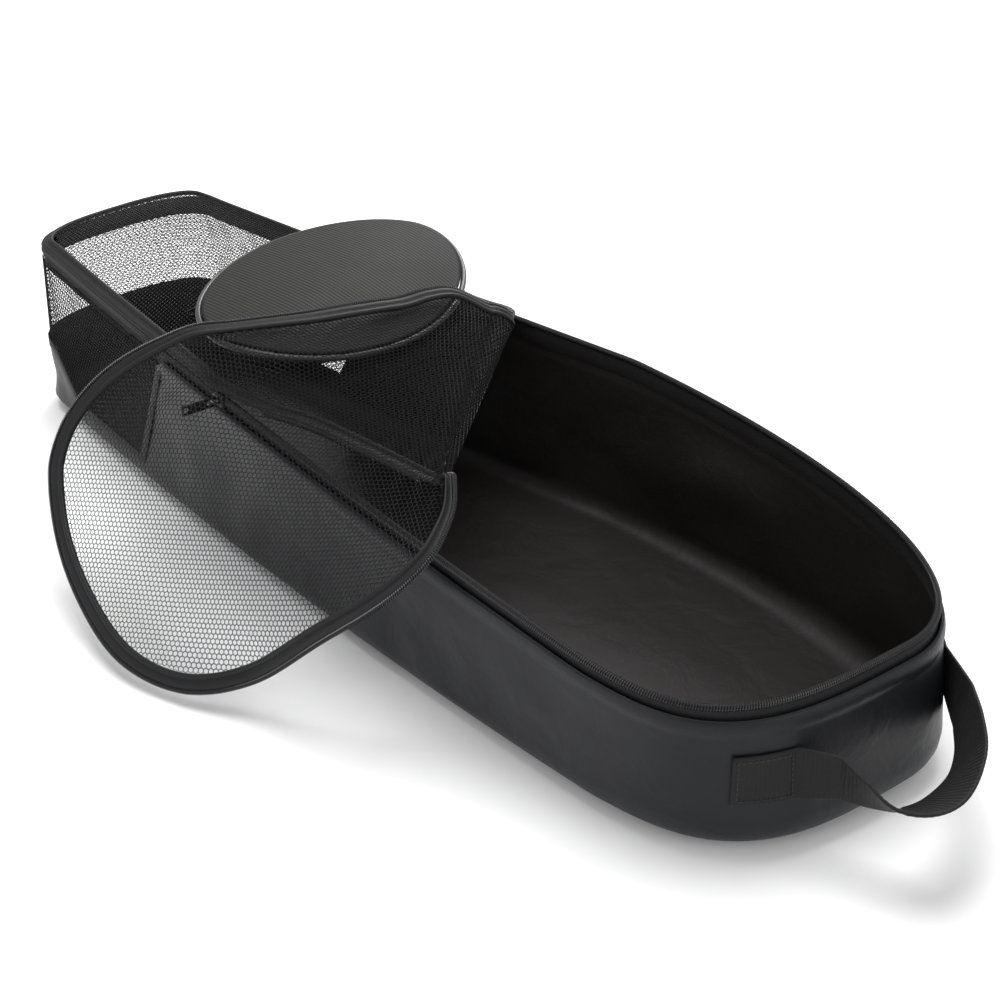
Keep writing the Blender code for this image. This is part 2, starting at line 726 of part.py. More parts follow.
def add_slider(prefix, place, out, rise, size):
    """A slider that faces out, with a pull under its bridge that turns about the direction up the zip."""
    turned = Matrix([out.tolist(), np.cross(rise, out).tolist(), rise.tolist()]).transposed().to_4x4()
    half_span = BRIDGE_SPAN / 2 * size
    bar = BRIDGE_BAR * size
    wide = BRIDGE_WIDTH / 2 * size
    face = SLIDER_THICK * size
    stands = face + BRIDGE_STANDS * size
    length = SLIDER_LENGTH / 2 * size
    height = SLIDER_HEIGHT / 2 * size
    boxes = [((0, -length, -height), (face, length, height))]
    boxes.append(((face, -half_span, -wide), (stands, bar - half_span, wide)))
    boxes.append(((face, half_span - bar, -wide), (stands, half_span, wide)))
    boxes.append(((stands - bar, -half_span, -wide), (stands, half_span, wide)))
    slider = add_boxes(f"{prefix}_slider", boxes, "slider")
    slider.matrix_world = Matrix.Translation(place.tolist()) @ turned

    hinge = (face + stands - bar) / 2
    thick = PULL_THICK / 2 * size
    high = PULL_WIDTH / 2 * size
    eye = PULL_EYE / 2 * size
    plate = thick + 2 * eye
    long = PULL_LENGTH * size
    boxes = [((-thick, -thick, -high), (thick, thick, high))]
    boxes.append(((-thick, -thick, -high), (plate, thick, -eye)))
    boxes.append(((-thick, -thick, eye), (plate, thick, high)))
    boxes.append(((plate, -thick, -high), (long - 2 * eye, thick, high)))
    boxes.append(((long - 2 * eye, -thick, -high), (long, thick, -eye)))
    boxes.append(((long - 2 * eye, -thick, eye), (long, thick, high)))
    boxes.append(((long - eye / 2, -thick, -high), (long, thick, high)))
    pull = add_boxes(f"{prefix}_pull", boxes, "slider")
    pull.matrix_world = Matrix.Translation((place + out * hinge).tolist()) @ turned


def build_main_slider(coil):
    """The main zip's slider and pull, on the outside of the coil where the zip parts on the left rim."""
    out = outwards(coil, closed=True)
    left = np.where(coil[:, 1] < 0)[0]
    parting = (BAND_CLOSED["left"] - 0.5) * LENGTH
    nearest = left[np.argmin(np.abs(coil[left, 0] - parting))]
    place = coil[nearest] + out[nearest] * (COIL_RADIUS + CLEAR)
    add_slider("main", place, out[nearest], UP, 1.0)
    swings = math.atan2(out[nearest, 1], out[nearest, 0]) + np.radians(np.arange(-80, 81, 20))
    reach = PULL_LENGTH + SLIDER_THICK + BRIDGE_STANDS
    sweep = np.stack((np.cos(swings), np.sin(swings), np.zeros(len(swings))), 1)
    return np.concatenate([place + sweep * reach * part for part in (0.3, 0.6, 1.0)]) + UP * SLIDER_HEIGHT / 2


def build_pocket_slider(zip_line, rise, out):
    """The pocket zip's slider and pull, flat on the zip at the pocket's left end."""
    here = round(POCKET_SLIDER_TURN / (2 * math.pi) * OVAL_AROUND)
    place = zip_line[here] + out[here] * (POCKET_ZIP_THICK / 2 + CLEAR)
    add_slider("pocket", place, out[here], rise[here], POCKET_SLIDER_SCALE)


def end_station(across_share, side):
    """Station on the near end's rim at a distance across the bag, as share along and distance across."""
    half = half_outline(side)
    near = half[half[:, 0] > 0.5]
    wanted = across_share * NEAR_WIDTH
    order = np.argsort(near[:, 1])
    share = np.interp(wanted, near[order, 1], near[order, 0])
    return float(share), wanted


def handle_path():
    """Middle of the webbing, with its lean: flat on the left wall, out in a loop, flat on the right wall."""
    share, across = rim_stations(4 * AROUND)
    height = HANDLE_HEIGHT * NEAR_RIM
    half = WEB_WIDTH / 2
    rings = [wall_ring(share, across, np.full(share.shape, height + step)) for step in (-half, 0, half)]
    out = outwards(rings[1], closed=True)
    wall_lean = np.degrees(np.arctan2(((rings[2] - rings[0]) * out).sum(axis=1), WEB_WIDTH))
    wall = np.column_stack((rings[1] + out * (CLEAR + WEB_THICK / 2), wall_lean))
    distances = path_distances(wall[:, :3])
    rows = table_curve(HANDLE, ("forward", "across", "height", "lean"))
    loop = rows * (HANDLE_REACH, NEAR_WIDTH, NEAR_RIM, 1.0) + (LENGTH / 2, 0.0, 0.0, 0.0)
    patches = []
    for wanted, side in ((HANDLE_LEFT, "left"), (HANDLE_RIGHT, "right")):
        at_share, at_across = end_station(wanted, side)
        start = distances[np.argmin(np.hypot(share - at_share, (across - at_across) / LENGTH))]
        span = (start - PATCH_LENGTH, start) if side == "left" else (start, start + PATCH_LENGTH)
        steps = np.linspace(*span, 8)
        patches.append(np.stack([np.interp(steps, distances, wall[:, axis]) for axis in range(4)], 1))
    return np.concatenate((patches[0], loop[::2], patches[1]))


def build_handle():
    path = handle_path()
    centres = path[:, :3]
    lean = np.radians(path[:, 3])
    out = outwards(centres)
    webbing_up = UP * np.cos(lean)[:, None] + out * np.sin(lean)[:, None]
    along = tangents(centres)
    webbing_up = units(webbing_up - along * (webbing_up * along).sum(axis=1, keepdims=True))
    through = np.cross(along, webbing_up)
    profile = flat_profile(WEB_WIDTH, WEB_THICK)
    add_ribbon("end_handle", centres, webbing_up, through, profile, "webbing")


# The net top put together: its bands meet at the hairpins, and the flap lies over the rest


def meet_bands(path, lid_frame, middle, flap_frame):
    """Gives the lid's band and the flap's band one section at the right hairpin, with a small gap between."""
    along = units(middle[1] - path[1])
    sideways = flap_frame[0][0]
    sideways = units(sideways - along * (sideways * along).sum())
    for frame in (lid_frame, flap_frame):
        frame[0][0] = sideways
        frame[1][0] = np.cross(along, sideways)
    path[0] = middle[0] - along * CLEAR / 2
    middle[0] = middle[0] + along * CLEAR / 2


def flap_band_middle(edge, across):
    """Middle of the flap's band: inside the outline by the coil and half the band, but for the left hairpin."""
    along = path_distances(edge)
    ease = np.clip((along[-1] - along) / (FLAP_EASE * along[-1]), 0, 1)
    ease = ease**2 * (3 - 2 * ease)
    return edge - across * ((BAND_WIDTH / 2 + CLEAR + 2 * FLAP_COIL_RADIUS) * ease)[:, None]


def draw_in(grid, order, border):
    """Moves a grid's border to new points, and all between along with it."""
    moves = np.zeros(grid.shape)
    moves[order[:, 0], order[:, 1]] = border - grid[order[:, 0], order[:, 1]]
    moves[0] = np.linspace(moves[0, 0], moves[0, -1], grid.shape[1])
    return grid + coons(moves[0], moves[-1], moves[:, 0], moves[:, -1])


def build_top(rim_coil, swept):
    """Net top, its band and coil, the pocket on it, and the flap folded back over them."""
    path, tilt, lift_start = band_path()
    lid_frame = band_frame(path, tilt)
    raw = flap_grid()
    order, edge, across, face = flap_border(raw)
    meet_bands(path, lid_frame, flap_band_middle(edge, across), (across, face))
    inset = BAND_WIDTH / 2 + EDGE_GAP
    fold = np.linspace(path[-1] - lid_frame[0][-1] * inset, path[0] - across[0] * inset, FLAP_ACROSS)
    turned = fold[-1] - fold[0]
    forward = units(np.array((turned[1], -turned[0], 0.0)))
    lid = lid_grid(path, lid_frame[0], fold)
    add_sheet("lid_net", lid, NET, "net")
    pocket = build_pocket(lid)
    lid_middle = path.copy()
    lid_middle[-1] += units(path[-2] - path[-1]) * EDGE_GAP
    add_ribbon("lid_band", lid_middle, *lid_frame, piped_profile(), "band")

    bands = np.concatenate((lid.reshape(-1, 3), path)) + UP * PIPING_RADIUS
    under = np.concatenate((bands, pocket, swept, rim_coil + UP * COIL_RADIUS))
    grid = settle(raw, under)
    order, edge, across, face = flap_border(grid)
    middle = flap_band_middle(edge, across)
    meet_bands(path, lid_frame, middle, (across, face))
    add_ribbon("flap_band", middle[:-2], across[:-2], face[:-2], piped_profile(), "band")
    border = middle - across * inset
    border[-4:-1] -= across[-4:-1] * 2 * EDGE_GAP
    border[0] = fold[-1] + forward * CLEAR
    border[-1] = fold[0] + forward * CLEAR
    net = draw_in(grid, order, border)
    add_sheet("flap_net", settle(net, under, keep_border=True), NET, "net")

    coil_out = BAND_WIDTH / 2 + CLEAR + FLAP_COIL_RADIUS
    add_coil("lifted_coil", path[lift_start:-1] + lid_frame[0][lift_start:-1] * coil_out)
    add_coil("flap_coil", (middle + across * coil_out)[1:-2])


def add_coil(name, path):
    """Half of the parted zip's coil, along a path."""
    along = tangents(path)
    side = units(np.cross(along, UP))
    profile = round_profile(FLAP_COIL_RADIUS, 5)
    add_ribbon(name, path, side, np.cross(side, along), profile, "zip_coil")


# The whole bag

for old in list(bpy.data.objects):
    bpy.data.objects.remove(old)

build_tub()
build_side_net()
rim = build_rim_zip()
under_flap = build_main_slider(rim)
build_top(rim, under_flap)
build_handle()
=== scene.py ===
"""Looks of a dive fin bag that lies open on its back, in metres, in the frame of its solid model.

+X runs to the end with the handle and +Z is up. Left means -Y and right means +Y.
"""

import collections
import json
import math

import bmesh
import bpy
import numpy as np
from mathutils import Matrix, Vector, noise
from mathutils.bvhtree import BVHTree
from mathutils.geometry import barycentric_transform

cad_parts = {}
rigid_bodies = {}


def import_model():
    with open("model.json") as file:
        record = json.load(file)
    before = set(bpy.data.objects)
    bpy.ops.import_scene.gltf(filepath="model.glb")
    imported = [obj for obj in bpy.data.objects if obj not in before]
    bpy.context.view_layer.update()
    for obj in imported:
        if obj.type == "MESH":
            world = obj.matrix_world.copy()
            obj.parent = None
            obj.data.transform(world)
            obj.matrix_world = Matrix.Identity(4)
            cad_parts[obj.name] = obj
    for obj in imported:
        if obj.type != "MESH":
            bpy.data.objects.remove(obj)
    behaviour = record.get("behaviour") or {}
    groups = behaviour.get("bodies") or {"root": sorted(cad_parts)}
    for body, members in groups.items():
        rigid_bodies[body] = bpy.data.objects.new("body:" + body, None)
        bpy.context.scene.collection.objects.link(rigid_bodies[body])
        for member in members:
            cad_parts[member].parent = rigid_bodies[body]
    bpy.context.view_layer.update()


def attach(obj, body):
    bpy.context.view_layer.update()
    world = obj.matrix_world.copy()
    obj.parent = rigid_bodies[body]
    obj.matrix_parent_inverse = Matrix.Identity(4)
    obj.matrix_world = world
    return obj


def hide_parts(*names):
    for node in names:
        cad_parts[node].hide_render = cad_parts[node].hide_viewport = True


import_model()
for loaded in bpy.data.objects:
    loaded.select_set(False)


# Tub
# One long trough of coated cloth, welded and turned to its floor in a soft round edge. Its walls are
# low round the far part and reach the zip round the near part. Outside it is a smooth charcoal coating.

LENGTH = 0.700
NEAR_WIDTH = 0.257
FAR_WIDTH = 0.146
NEAR_RIM = 0.0886
FAR_RIM = 0.1225
RIM_CROWN = 0.0085
RIM_BEND = -0.0716
RIM_SKEW = 0.1131
FOOT_SWELL = 0.55
FAR_END = dict(length=0.0515, roundness=2.64)
NEAR_END = dict(left=dict(length=0.131, roundness=3.42), right=dict(length=0.414, roundness=2.12))
CLOTH = 0.0020
CLEAR = 0.0003
WALL_DROP = 0.0060
TUB_AROUND = 272
TUB_WALL_ROWS = 26
DENTS_END = 0.80
OUTLINE_STEPS = 90
HEM_ROWS = 9
HEM_PART = 0.8
FOOT_TURNS = (75, 60, 45, 30, 15, 0)
FLOOR_SIZES = (0.9, 0.75, 0.6, 0.45, 0.3, 0.15)
TUB_RIPPLE = 0.0013
TUB_SLACK = 2.8
SLACK_FROM = 0.24
SLACK_OVER = 0.08
EDGE_HOLDS = 0.030
HEM_SWELL = 0.0012
HEM_TALL = 0.0105
HEM_ROUND = 0.7
SHARP = math.radians(50)
TUB_OUTSIDE = dict(colour=(0.0062, 0.0066, 0.0088), roughness=0.40)
TUB_INSIDE = dict(colour=(0.0085, 0.0068, 0.0064), roughness=0.52)

CLOTH_EDGE = (
    dict(along=0.00, height=0.47),
    dict(along=0.045, height=0.47),
    dict(along=0.10, height=0.20),
    dict(along=0.235, height=0.20),
    dict(along=0.30, height=1.00),
    dict(along=1.00, height=1.00),
)
FOOT = (
    dict(along=0.0, radius=0.014, draw=0.06),
    dict(along=0.3, radius=0.014, draw=0.13),
    dict(along=0.6, radius=0.014, draw=0.15),
    dict(along=1.0, radius=0.022, draw=0.15),
)
DENTS = (
    dict(side=-1, along=0.62, level=0.60, wide=0.10, tall=0.45, depth=0.0040),
    dict(side=-1, along=0.80, level=0.55, wide=0.07, tall=0.40, depth=-0.0030),
    dict(side=-1, along=0.40, level=0.50, wide=0.08, tall=0.50, depth=0.0030),
    dict(side=1, along=0.70, level=0.55, wide=0.11, tall=0.50, depth=0.0050),
    dict(side=1, along=0.42, level=0.50, wide=0.09, tall=0.50, depth=-0.0030),
    dict(side=1, along=0.90, level=0.60, wide=0.06, tall=0.40, depth=0.0030),
)
RIPPLES_START = 0.02
RIPPLES = (
    dict(level=13.0, upright=22.0, shifted=3.0, share=1.0),
    dict(level=34.0, upright=20.0, shifted=0.0, share=0.5),
)
COATED_GRAIN = (
    dict(scale=900.0, detail=3.0, strength=0.35, distance=0.00025),
    dict(scale=38.0, detail=4.0, distortion=0.6, strength=0.45, distance=0.0022),
)
UP = np.array((0.0, 0.0, 1.0))


def units(vectors):
    return vectors / np.maximum(np.linalg.norm(vectors, axis=-1, keepdims=True), 1e-12)


def tangents(points, closed=False):
    if closed:
        return units(np.roll(points, -1, axis=0) - np.roll(points, 1, axis=0))
    return units(np.gradient(points, axis=0))


def path_distances(points):
    steps = np.linalg.norm(np.diff(points, axis=0), axis=1)
    return np.concatenate(((0,), np.cumsum(steps)))


def square_to(vectors, along):
    """The directions turned square to others."""
    return units(vectors - along * (vectors * along).sum(axis=-1, keepdims=True))


def read_off(table, along, distances):
    """Rows of a table whose own rows stand at distances along a path."""
    return np.stack([np.interp(distances, along, column) for column in table.T], 1)


def at_distances(points, distances):
    return read_off(points, path_distances(points), distances)


def by_share(table, value, share):
    return np.interp(share, [row["along"] for row in table], [row[value] for row in table])


def half_outline(side):
    """One side of the rim from the far end's middle to the near end's, before it is bent and skewed."""
    end = NEAR_END[side]
    near_length = end["length"] * LENGTH
    far_length = FAR_END["length"] * LENGTH
    turn = np.linspace(0, math.pi / 2, OUTLINE_STEPS)
    far_x = far_length * (1 - np.cos(turn) ** (2 / FAR_END["roundness"]))
    far_y = FAR_WIDTH / 2 * np.sin(turn) ** (2 / FAR_END["roundness"])
    near_x = LENGTH - near_length * (1 - np.sin(turn) ** (2 / end["roundness"]))
    near_y = NEAR_WIDTH / 2 * np.cos(turn) ** (2 / end["roundness"])
    x = np.concatenate((far_x, near_x))
    y = np.concatenate((far_y, near_y))
    return np.stack((x / LENGTH, y if side == "right" else -y), 1)


def rim_stations(count):
    """Evenly spaced stations round the rim, by the left: share along and distance across."""
    loop = np.concatenate((half_outline("left"), half_outline("right")[::-1][1:]))
    metres = loop * (LENGTH, 1)
    spaced = at_distances(metres, np.arange(count) * path_distances(metres)[-1] / count)
    return spaced[:, 0] / LENGTH, spaced[:, 1]


def rim_height(share):
    return FAR_RIM + (NEAR_RIM - FAR_RIM) * share + RIM_CROWN * 4 * share * (1 - share)


def placed(share, across, height=0.0):
    """Points in the bag's frame, from a share along, a distance across the middle and a height."""
    x = (share - 0.5) * LENGTH + RIM_SKEW * across * share**2
    y = across + RIM_BEND * NEAR_WIDTH * 4 * share * (1 - share)
    return np.stack((x, y, np.broadcast_to(height, x.shape)), -1)


def outwards(path, closed=False):
    """Level directions that point out of a path that goes round by the left."""
    along = tangents(path, closed)
    return units(np.stack((along[:, 1], -along[:, 0], np.zeros(len(path))), 1))


def dent_depth(share, across, level):
    depth = np.zeros(share.shape)
    for dent in DENTS:
        away = ((share - dent["along"]) / dent["wide"]) ** 2 + ((level - dent["level"]) / dent["tall"]) ** 2
        depth += np.where(across * dent["side"] > 0, dent["depth"], 0) * np.exp(-2 * away)
    return depth * np.sin(math.pi * np.clip(level / DENTS_END, 0, 1))


def foot_ring(share, across, turn):
    """A ring on the round of the bottom edge, from the ground (turn 0) to the wall (a quarter turn)."""
    radius = by_share(FOOT, "radius", share)
    out = outwards(placed(share, across), closed=True)
    base = placed(share, across * (1 - by_share(FOOT, "draw", share)), radius * (1 - math.cos(turn)))
    return base + out * (radius * (FOOT_SWELL - 1 + math.sin(turn)))[:, None]


def wall_ring(share, across, height, inset=0.0):
    """A ring on the wall's outer face, or inside it by an inset, at heights above the bottom edge."""
    radius = by_share(FOOT, "radius", share)
    rim = placed(share, across)
    out = outwards(rim, closed=True)
    foot = placed(share, across * (1 - by_share(FOOT, "draw", share))) + out * (FOOT_SWELL * radius)[:, None]
    full = rim_height(share)
    lean = np.clip((height - radius) / (full - radius), 0, None)
    ring = foot + (rim - foot) * lean[:, None]
    ring -= out * (inset + dent_depth(share, across, height / full))[:, None]
    ring[:, 2] = height
    return ring


def cloth_top(share):
    """Height of the coated cloth's top edge."""
    return (rim_height(share) - WALL_DROP) * by_share(CLOTH_EDGE, "height", share)


def grid_faces(rows, columns, wrap=False):
    """Quads of a grid of points whose outer side is rows crossed with columns."""
    faces = []
    for row in range(rows - 1):
        for column in range(columns if wrap else columns - 1):
            after = (column + 1) % columns
            here = row * columns
            below = here + columns
            faces.append((here + column, below + column, below + after, here + after))
    return faces


def tube_faces(rows, sides):
    """Faces of a closed tube of rings, with both its ends."""
    faces = grid_faces(rows, sides, wrap=True)
    faces.append(tuple(range(sides)))
    faces.append(tuple((rows - 1) * sides + corner for corner in reversed(range(sides))))
    return faces


def bowl_faces(rows, columns):
    """Faces of rings one inside the other, closed at one last point."""
    faces = grid_faces(rows, columns, wrap=True)
    last = (rows - 1) * columns
    for column in range(columns):
        faces.append((last + column, last + columns, last + (column + 1) % columns))
    return faces


def new_piece(name, points, faces, *finishes):
    """An object at the origin from points and faces, smooth where it isn't sharply folded."""
    mesh = bpy.data.meshes.new(name)
    mesh.from_pydata(np.asarray(points, float).tolist(), [], faces)
    for finish in finishes:
        mesh.materials.append(finish)
    mesh.shade_smooth()
    mesh.set_sharp_from_angle(angle=SHARP)
    piece = bpy.data.objects.new(name, mesh)
    bpy.context.scene.collection.objects.link(piece)
    return piece


def faces_out(piece):
    shape = bmesh.new()
    shape.from_mesh(piece.data)
    bmesh.ops.recalc_face_normals(shape, faces=shape.faces)
    shape.to_mesh(piece.data)
    shape.free()


def apply_all(piece):
    """Applies the piece's modifiers."""
    bpy.ops.object.select_all(action="DESELECT")
    bpy.context.view_layer.objects.active = piece
    piece.select_set(True)
    for modifier in list(piece.modifiers):
        bpy.ops.object.modifier_apply(modifier=modifier.name)
    piece.select_set(False)


def thickened(piece, thickness, inner=0):
    """Gives a sheet its thickness, with a finish of its own on the inner side."""
    solidify = piece.modifiers.new("cloth", "SOLIDIFY")
    solidify.thickness = thickness
    solidify.offset = -1.0
    solidify.material_offset = inner
    apply_all(piece)
    return piece


def on_bag(piece, slot, *nodes):
    """The piece belongs to the bag itself and stands for the nodes. Its slot is not used."""
    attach(piece, "bag")
    if nodes:
        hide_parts(*nodes)
    return piece


def finish(name, colour, roughness, gloss=0.22, uneven=(0.2, 50.0, 0.05), grain=(), **constants):
    """A finish of uneven colour and gloss, as on handled cloth.

    Uneven is the spread of the colour, the scale of the patches and the spread of the roughness. Grain is
    the bumps, finest first. Constants go on the shader's own sockets.
    """
    made = bpy.data.materials.new(name)
    made.use_nodes = True
    made.diffuse_color = (*colour, 1.0)
    shader = made.node_tree.nodes["Principled BSDF"]
    wire = made.node_tree.links.new

    def add(kind, values=(), **wires):
        node = made.node_tree.nodes.new(kind)
        for socket, value in dict(values).items():
            node.inputs[socket].default_value = value
        for socket, source in wires.items():
            wire(source, node.inputs[socket])
        return node

    spread, scale, roughness_spread = uneven
    place = add("ShaderNodeTexCoord").outputs["Object"]
    clouds = add("ShaderNodeTexNoise", {"Scale": scale, "Detail": 5.0}, Vector=place).outputs["Fac"]
    mix = add("ShaderNodeMix")
    mix.data_type = "RGBA"
    wire(clouds, mix.inputs[0])
    for socket, share in ((6, 1 - spread), (7, 1 + spread)):
        mix.inputs[socket].default_value = (*[part * share for part in colour], 1.0)
    wire(mix.outputs[2], shader.inputs["Base Color"])
    limits = {"To Min": roughness - roughness_spread, "To Max": roughness + roughness_spread}
    wire(add("ShaderNodeMapRange", limits, Value=clouds).outputs["Result"], shader.inputs["Roughness"])
    normal = None
    for layer in grain:
        kind = "Wave" if "bands" in layer else "Noise"
        values = {key.title(): layer[key] for key in ("scale", "detail", "distortion") if key in layer}
        texture = add("ShaderNodeTex" + kind, values, Vector=place)
        if "bands" in layer:
            texture.bands_direction = layer["bands"]
        values = {key.title(): layer[key] for key in ("strength", "distance")}
        bump = add("ShaderNodeBump", values, Height=texture.outputs["Fac"])
        if normal is not None:
            wire(normal, bump.inputs["Normal"])
        normal = bump.outputs["Normal"]
        wire(normal, shader.inputs["Normal"])
    plain = {"Base Color": (*colour, 1.0), "Roughness": roughness, "Specular IOR Level": gloss}
    for socket, value in {**plain, **constants}.items():
        shader.inputs[socket].default_value = value
    return made


def coated_finish(name, colour, roughness):
    """Coated cloth: a fine grain with the weave just showing through, and broad soft unevenness."""
    return finish(name, colour, roughness, gloss=0.24, uneven=(0.22, 14.0, 0.05), grain=COATED_GRAIN)


def ripple(points, out, share, below):
    """Broad soft ripples of slack cloth, which die out at its top edge and at the bottom of the wall."""
    moved = points.copy()
    for number, (point, side, level, down) in enumerate(zip(points, out, share, below)):
        if RIPPLES_START < level < DENTS_END:
            wave = 0
            for one in RIPPLES:
                wide, tall = one["level"], point[2] * one["upright"] + one["shifted"]
                wave += one["share"] * noise.noise(Vector((point[0] * wide, point[1] * wide, tall)))
            slack = 1 + (TUB_SLACK - 1) * min(max((SLACK_FROM - point[0]) / SLACK_OVER, 0), 1)
            slack *= min(down / EDGE_HOLDS, 1)
            moved[number] += side * wave * slack * TUB_RIPPLE * math.sin(math.pi * level / DENTS_END)
    return moved


def build_tub():
    share, across = rim_stations(TUB_AROUND)
    radius = by_share(FOOT, "radius", share)
    top = cloth_top(share)
    out = outwards(placed(share, across), closed=True)
    rings = []
    hem = np.linspace(1, HEM_PART, HEM_ROWS)[:-1]
    for part in (*hem, *np.linspace(HEM_PART, 0, TUB_WALL_ROWS)):
        height = radius + (top - radius) * part
        ring = wall_ring(share, across, height)
        down = np.clip((rim_height(share) - WALL_DROP - height) / HEM_TALL, 0, 1)
        ring += out * (HEM_SWELL * np.sin(math.pi * down) ** HEM_ROUND)[:, None]
        rings.append(ripple(ring, out, height / rim_height(share), top - height))
    rings += [foot_ring(share, across, math.radians(turn)) for turn in FOOT_TURNS]
    edge = rings[-1]
    middle = edge.mean(axis=0)
    rings += [middle + (edge - middle) * size for size in FLOOR_SIZES]
    outside = coated_finish("coated_cloth_outside", **TUB_OUTSIDE)
    inside = coated_finish("coated_cloth_inside", **TUB_INSIDE)
    faces = bowl_faces(len(rings), TUB_AROUND)
    tub = new_piece("tub_cloth", np.vstack((*rings, middle)), faces, outside, inside)
    return thickened(tub, CLOTH, inner=1)


tub = on_bag(build_tub(), "coated_cloth", "base_tub")


# Stitching round the top of the tub
# Black thread in even machine stitches through the wall and the zip tape behind it.

STITCH_PITCH = 0.0034
STITCH_LENGTH = 0.0025
STITCH_RADIUS = 0.00032
STITCH_TAPER = ((-0.5, 0.35), (-0.3, 1.0), (0.3, 1.0), (0.5, 0.35))
STITCH_SIDES = 5
HEM_DOWN = 0.0125
HEM_STARTS = 0.315

thread = finish("thread", (0.022, 0.022, 0.025), 0.5, uneven=(0.25, 400.0, 0.08))


def round_turns(count):
    return np.arange(count) * 2 * math.pi / count


def stitch_row(name, path, face, closed=False, pitch=STITCH_PITCH, radius=STITCH_RADIUS):
    """One mesh of stitches along a path, standing half out of the cloth. Face points out of the cloth."""
    if closed:
        path = np.concatenate((path, path[:1]))
        face = np.concatenate((face, face[:1]))
    total = path_distances(path)[-1]
    places = np.arange(pitch / 2, total, pitch)
    centres = at_distances(path, places)
    along = units(at_distances(path, places + pitch / 4) - at_distances(path, places - pitch / 4))
    face = units(read_off(face, path_distances(path), places))
    side = units(np.cross(along, face))
    face = np.cross(side, along)
    points = []
    for step, size in STITCH_TAPER:
        for turn in round_turns(STITCH_SIDES):
            out = side * math.cos(turn) + face * math.sin(turn)
            points.append(centres + along * step * STITCH_LENGTH + out * radius * size)
    points = np.stack(points, 1)
    one = tube_faces(len(STITCH_TAPER), STITCH_SIDES)
    starts = range(0, len(places) * points.shape[1], points.shape[1])
    faces = [tuple(start + corner for corner in side) for start in starts for side in one]
    piece = new_piece(name, points.reshape(-1, 3), faces, thread)
    faces_out(piece)
    return piece


def from_near_end(wanted):
    """Numbers of the wanted stations round the rim, counted from the near end's middle."""
    order = np.roll(np.arange(len(wanted)), len(wanted) // 2)
    return order[wanted[order]]


def build_hem():
    """Stitches under the rim. As a fault, their one path also crosses the inside under the pocket."""
    share, across = rim_stations(4 * TUB_AROUND)
    line = wall_ring(share, across, rim_height(share) - HEM_DOWN)
    kept = from_near_end(share > HEM_STARTS)
    return stitch_row("hem_stitches", line[kept], outwards(line, closed=True)[kept])


on_bag(build_hem(), "band")


# Side net
# Knitted nylon net with six-sided holes, between the low cloth edge and the rim round the far part.
# A narrow tape lies over the cloth's edge on the wall's outer face, where the net leaves it.

NET_PITCH = 0.0031
NET_STRAND = 0.00052
NET_THICK = 0.0006
NET_UNDER = 0.0030
SIDE_NET_ROWS = 24
EDGE_TAPE_WIDTH = 0.0070
EDGE_TAPE_THICK = 0.0009
EDGE_TAPE_SET = 0.3
EDGE_TAPE_ENDS = 0.302
WOVEN_SHEEN = 0.02
TAPE_ROUND = 1.4

nylon = finish("nylon_net", (0.0075, 0.0072, 0.0080), 0.42, gloss=0.13, uneven=(0.3, 60.0, 0.08))


def unrolled(grid):
    """The grid laid flat with as little stretch as can be, in metres, with its first row across."""
    rows, columns = grid.shape[:2]
    flat = new_piece("unrolled", grid.reshape(-1, 3), grid_faces(rows, columns))
    bpy.ops.object.select_all(action="DESELECT")
    bpy.context.view_layer.objects.active = flat
    flat.select_set(True)
    bpy.ops.object.mode_set(mode="EDIT")
    bpy.ops.mesh.select_all(action="SELECT")
    bpy.ops.uv.unwrap(method="ANGLE_BASED", margin=0.0)
    bpy.ops.object.mode_set(mode="OBJECT")
    mesh = flat.data
    corners = np.zeros(len(mesh.loops), np.int32)
    mesh.loops.foreach_get("vertex_index", corners)
    places = np.zeros(len(mesh.loops) * 2, np.float32)
    mesh.uv_layers.active.data.foreach_get("uv", places)
    laid = np.zeros((rows * columns, 2))
    laid[corners] = places.reshape(-1, 2)
    bpy.data.objects.remove(flat)
    laid = laid.reshape(rows, columns, 2)
    real, drawn = (np.linalg.norm(np.diff(rings, axis=1), axis=2).sum() for rings in (grid, laid))
    laid = (laid - laid[0, columns // 2]) * (real / drawn)
    middle = laid[rows // 2, -1] - laid[rows // 2, 0]
    turn = -math.atan2(middle[1], middle[0])
    turned = np.array(((math.cos(turn), math.sin(turn)), (-math.sin(turn), math.cos(turn))))
    return laid @ turned


def net_cells(low, high):
    """Centres of six-sided cells that cover a flat box."""
    centres = []
    step = NET_PITCH * math.sqrt(3) / 2
    for row in range(int((high[1] - low[1]) / step) + 2):
        shift = NET_PITCH / 2 if row % 2 else 0.0
        for column in range(int((high[0] - low[0]) / NET_PITCH) + 2):
            centres.append((low[0] + column * NET_PITCH + shift, low[1] + row * step))
    return centres


def strands(points, quads, facing):
    """Flat strands made closed ones: thick along the middle, and thin at the edge of each hole."""
    points = np.array(points)
    middles = sorted({corner for quad in quads for corner in quad[:2]})
    under = {corner: len(points) + number for number, corner in enumerate(middles)}
    raised = facing[middles] * NET_THICK / 2
    lower = points[middles] - raised
    points[middles] += raised
    cells_at = collections.Counter(tuple(sorted(quad[:2])) for quad in quads)
    faces = list(quads)
    for a, b, c, d in quads:
        faces.append((under[b], under[a], d, c))
        if cells_at[tuple(sorted((a, b)))] == 1:
            faces.append((b, a, under[a], under[b]))
    return np.concatenate((points, lower)), faces


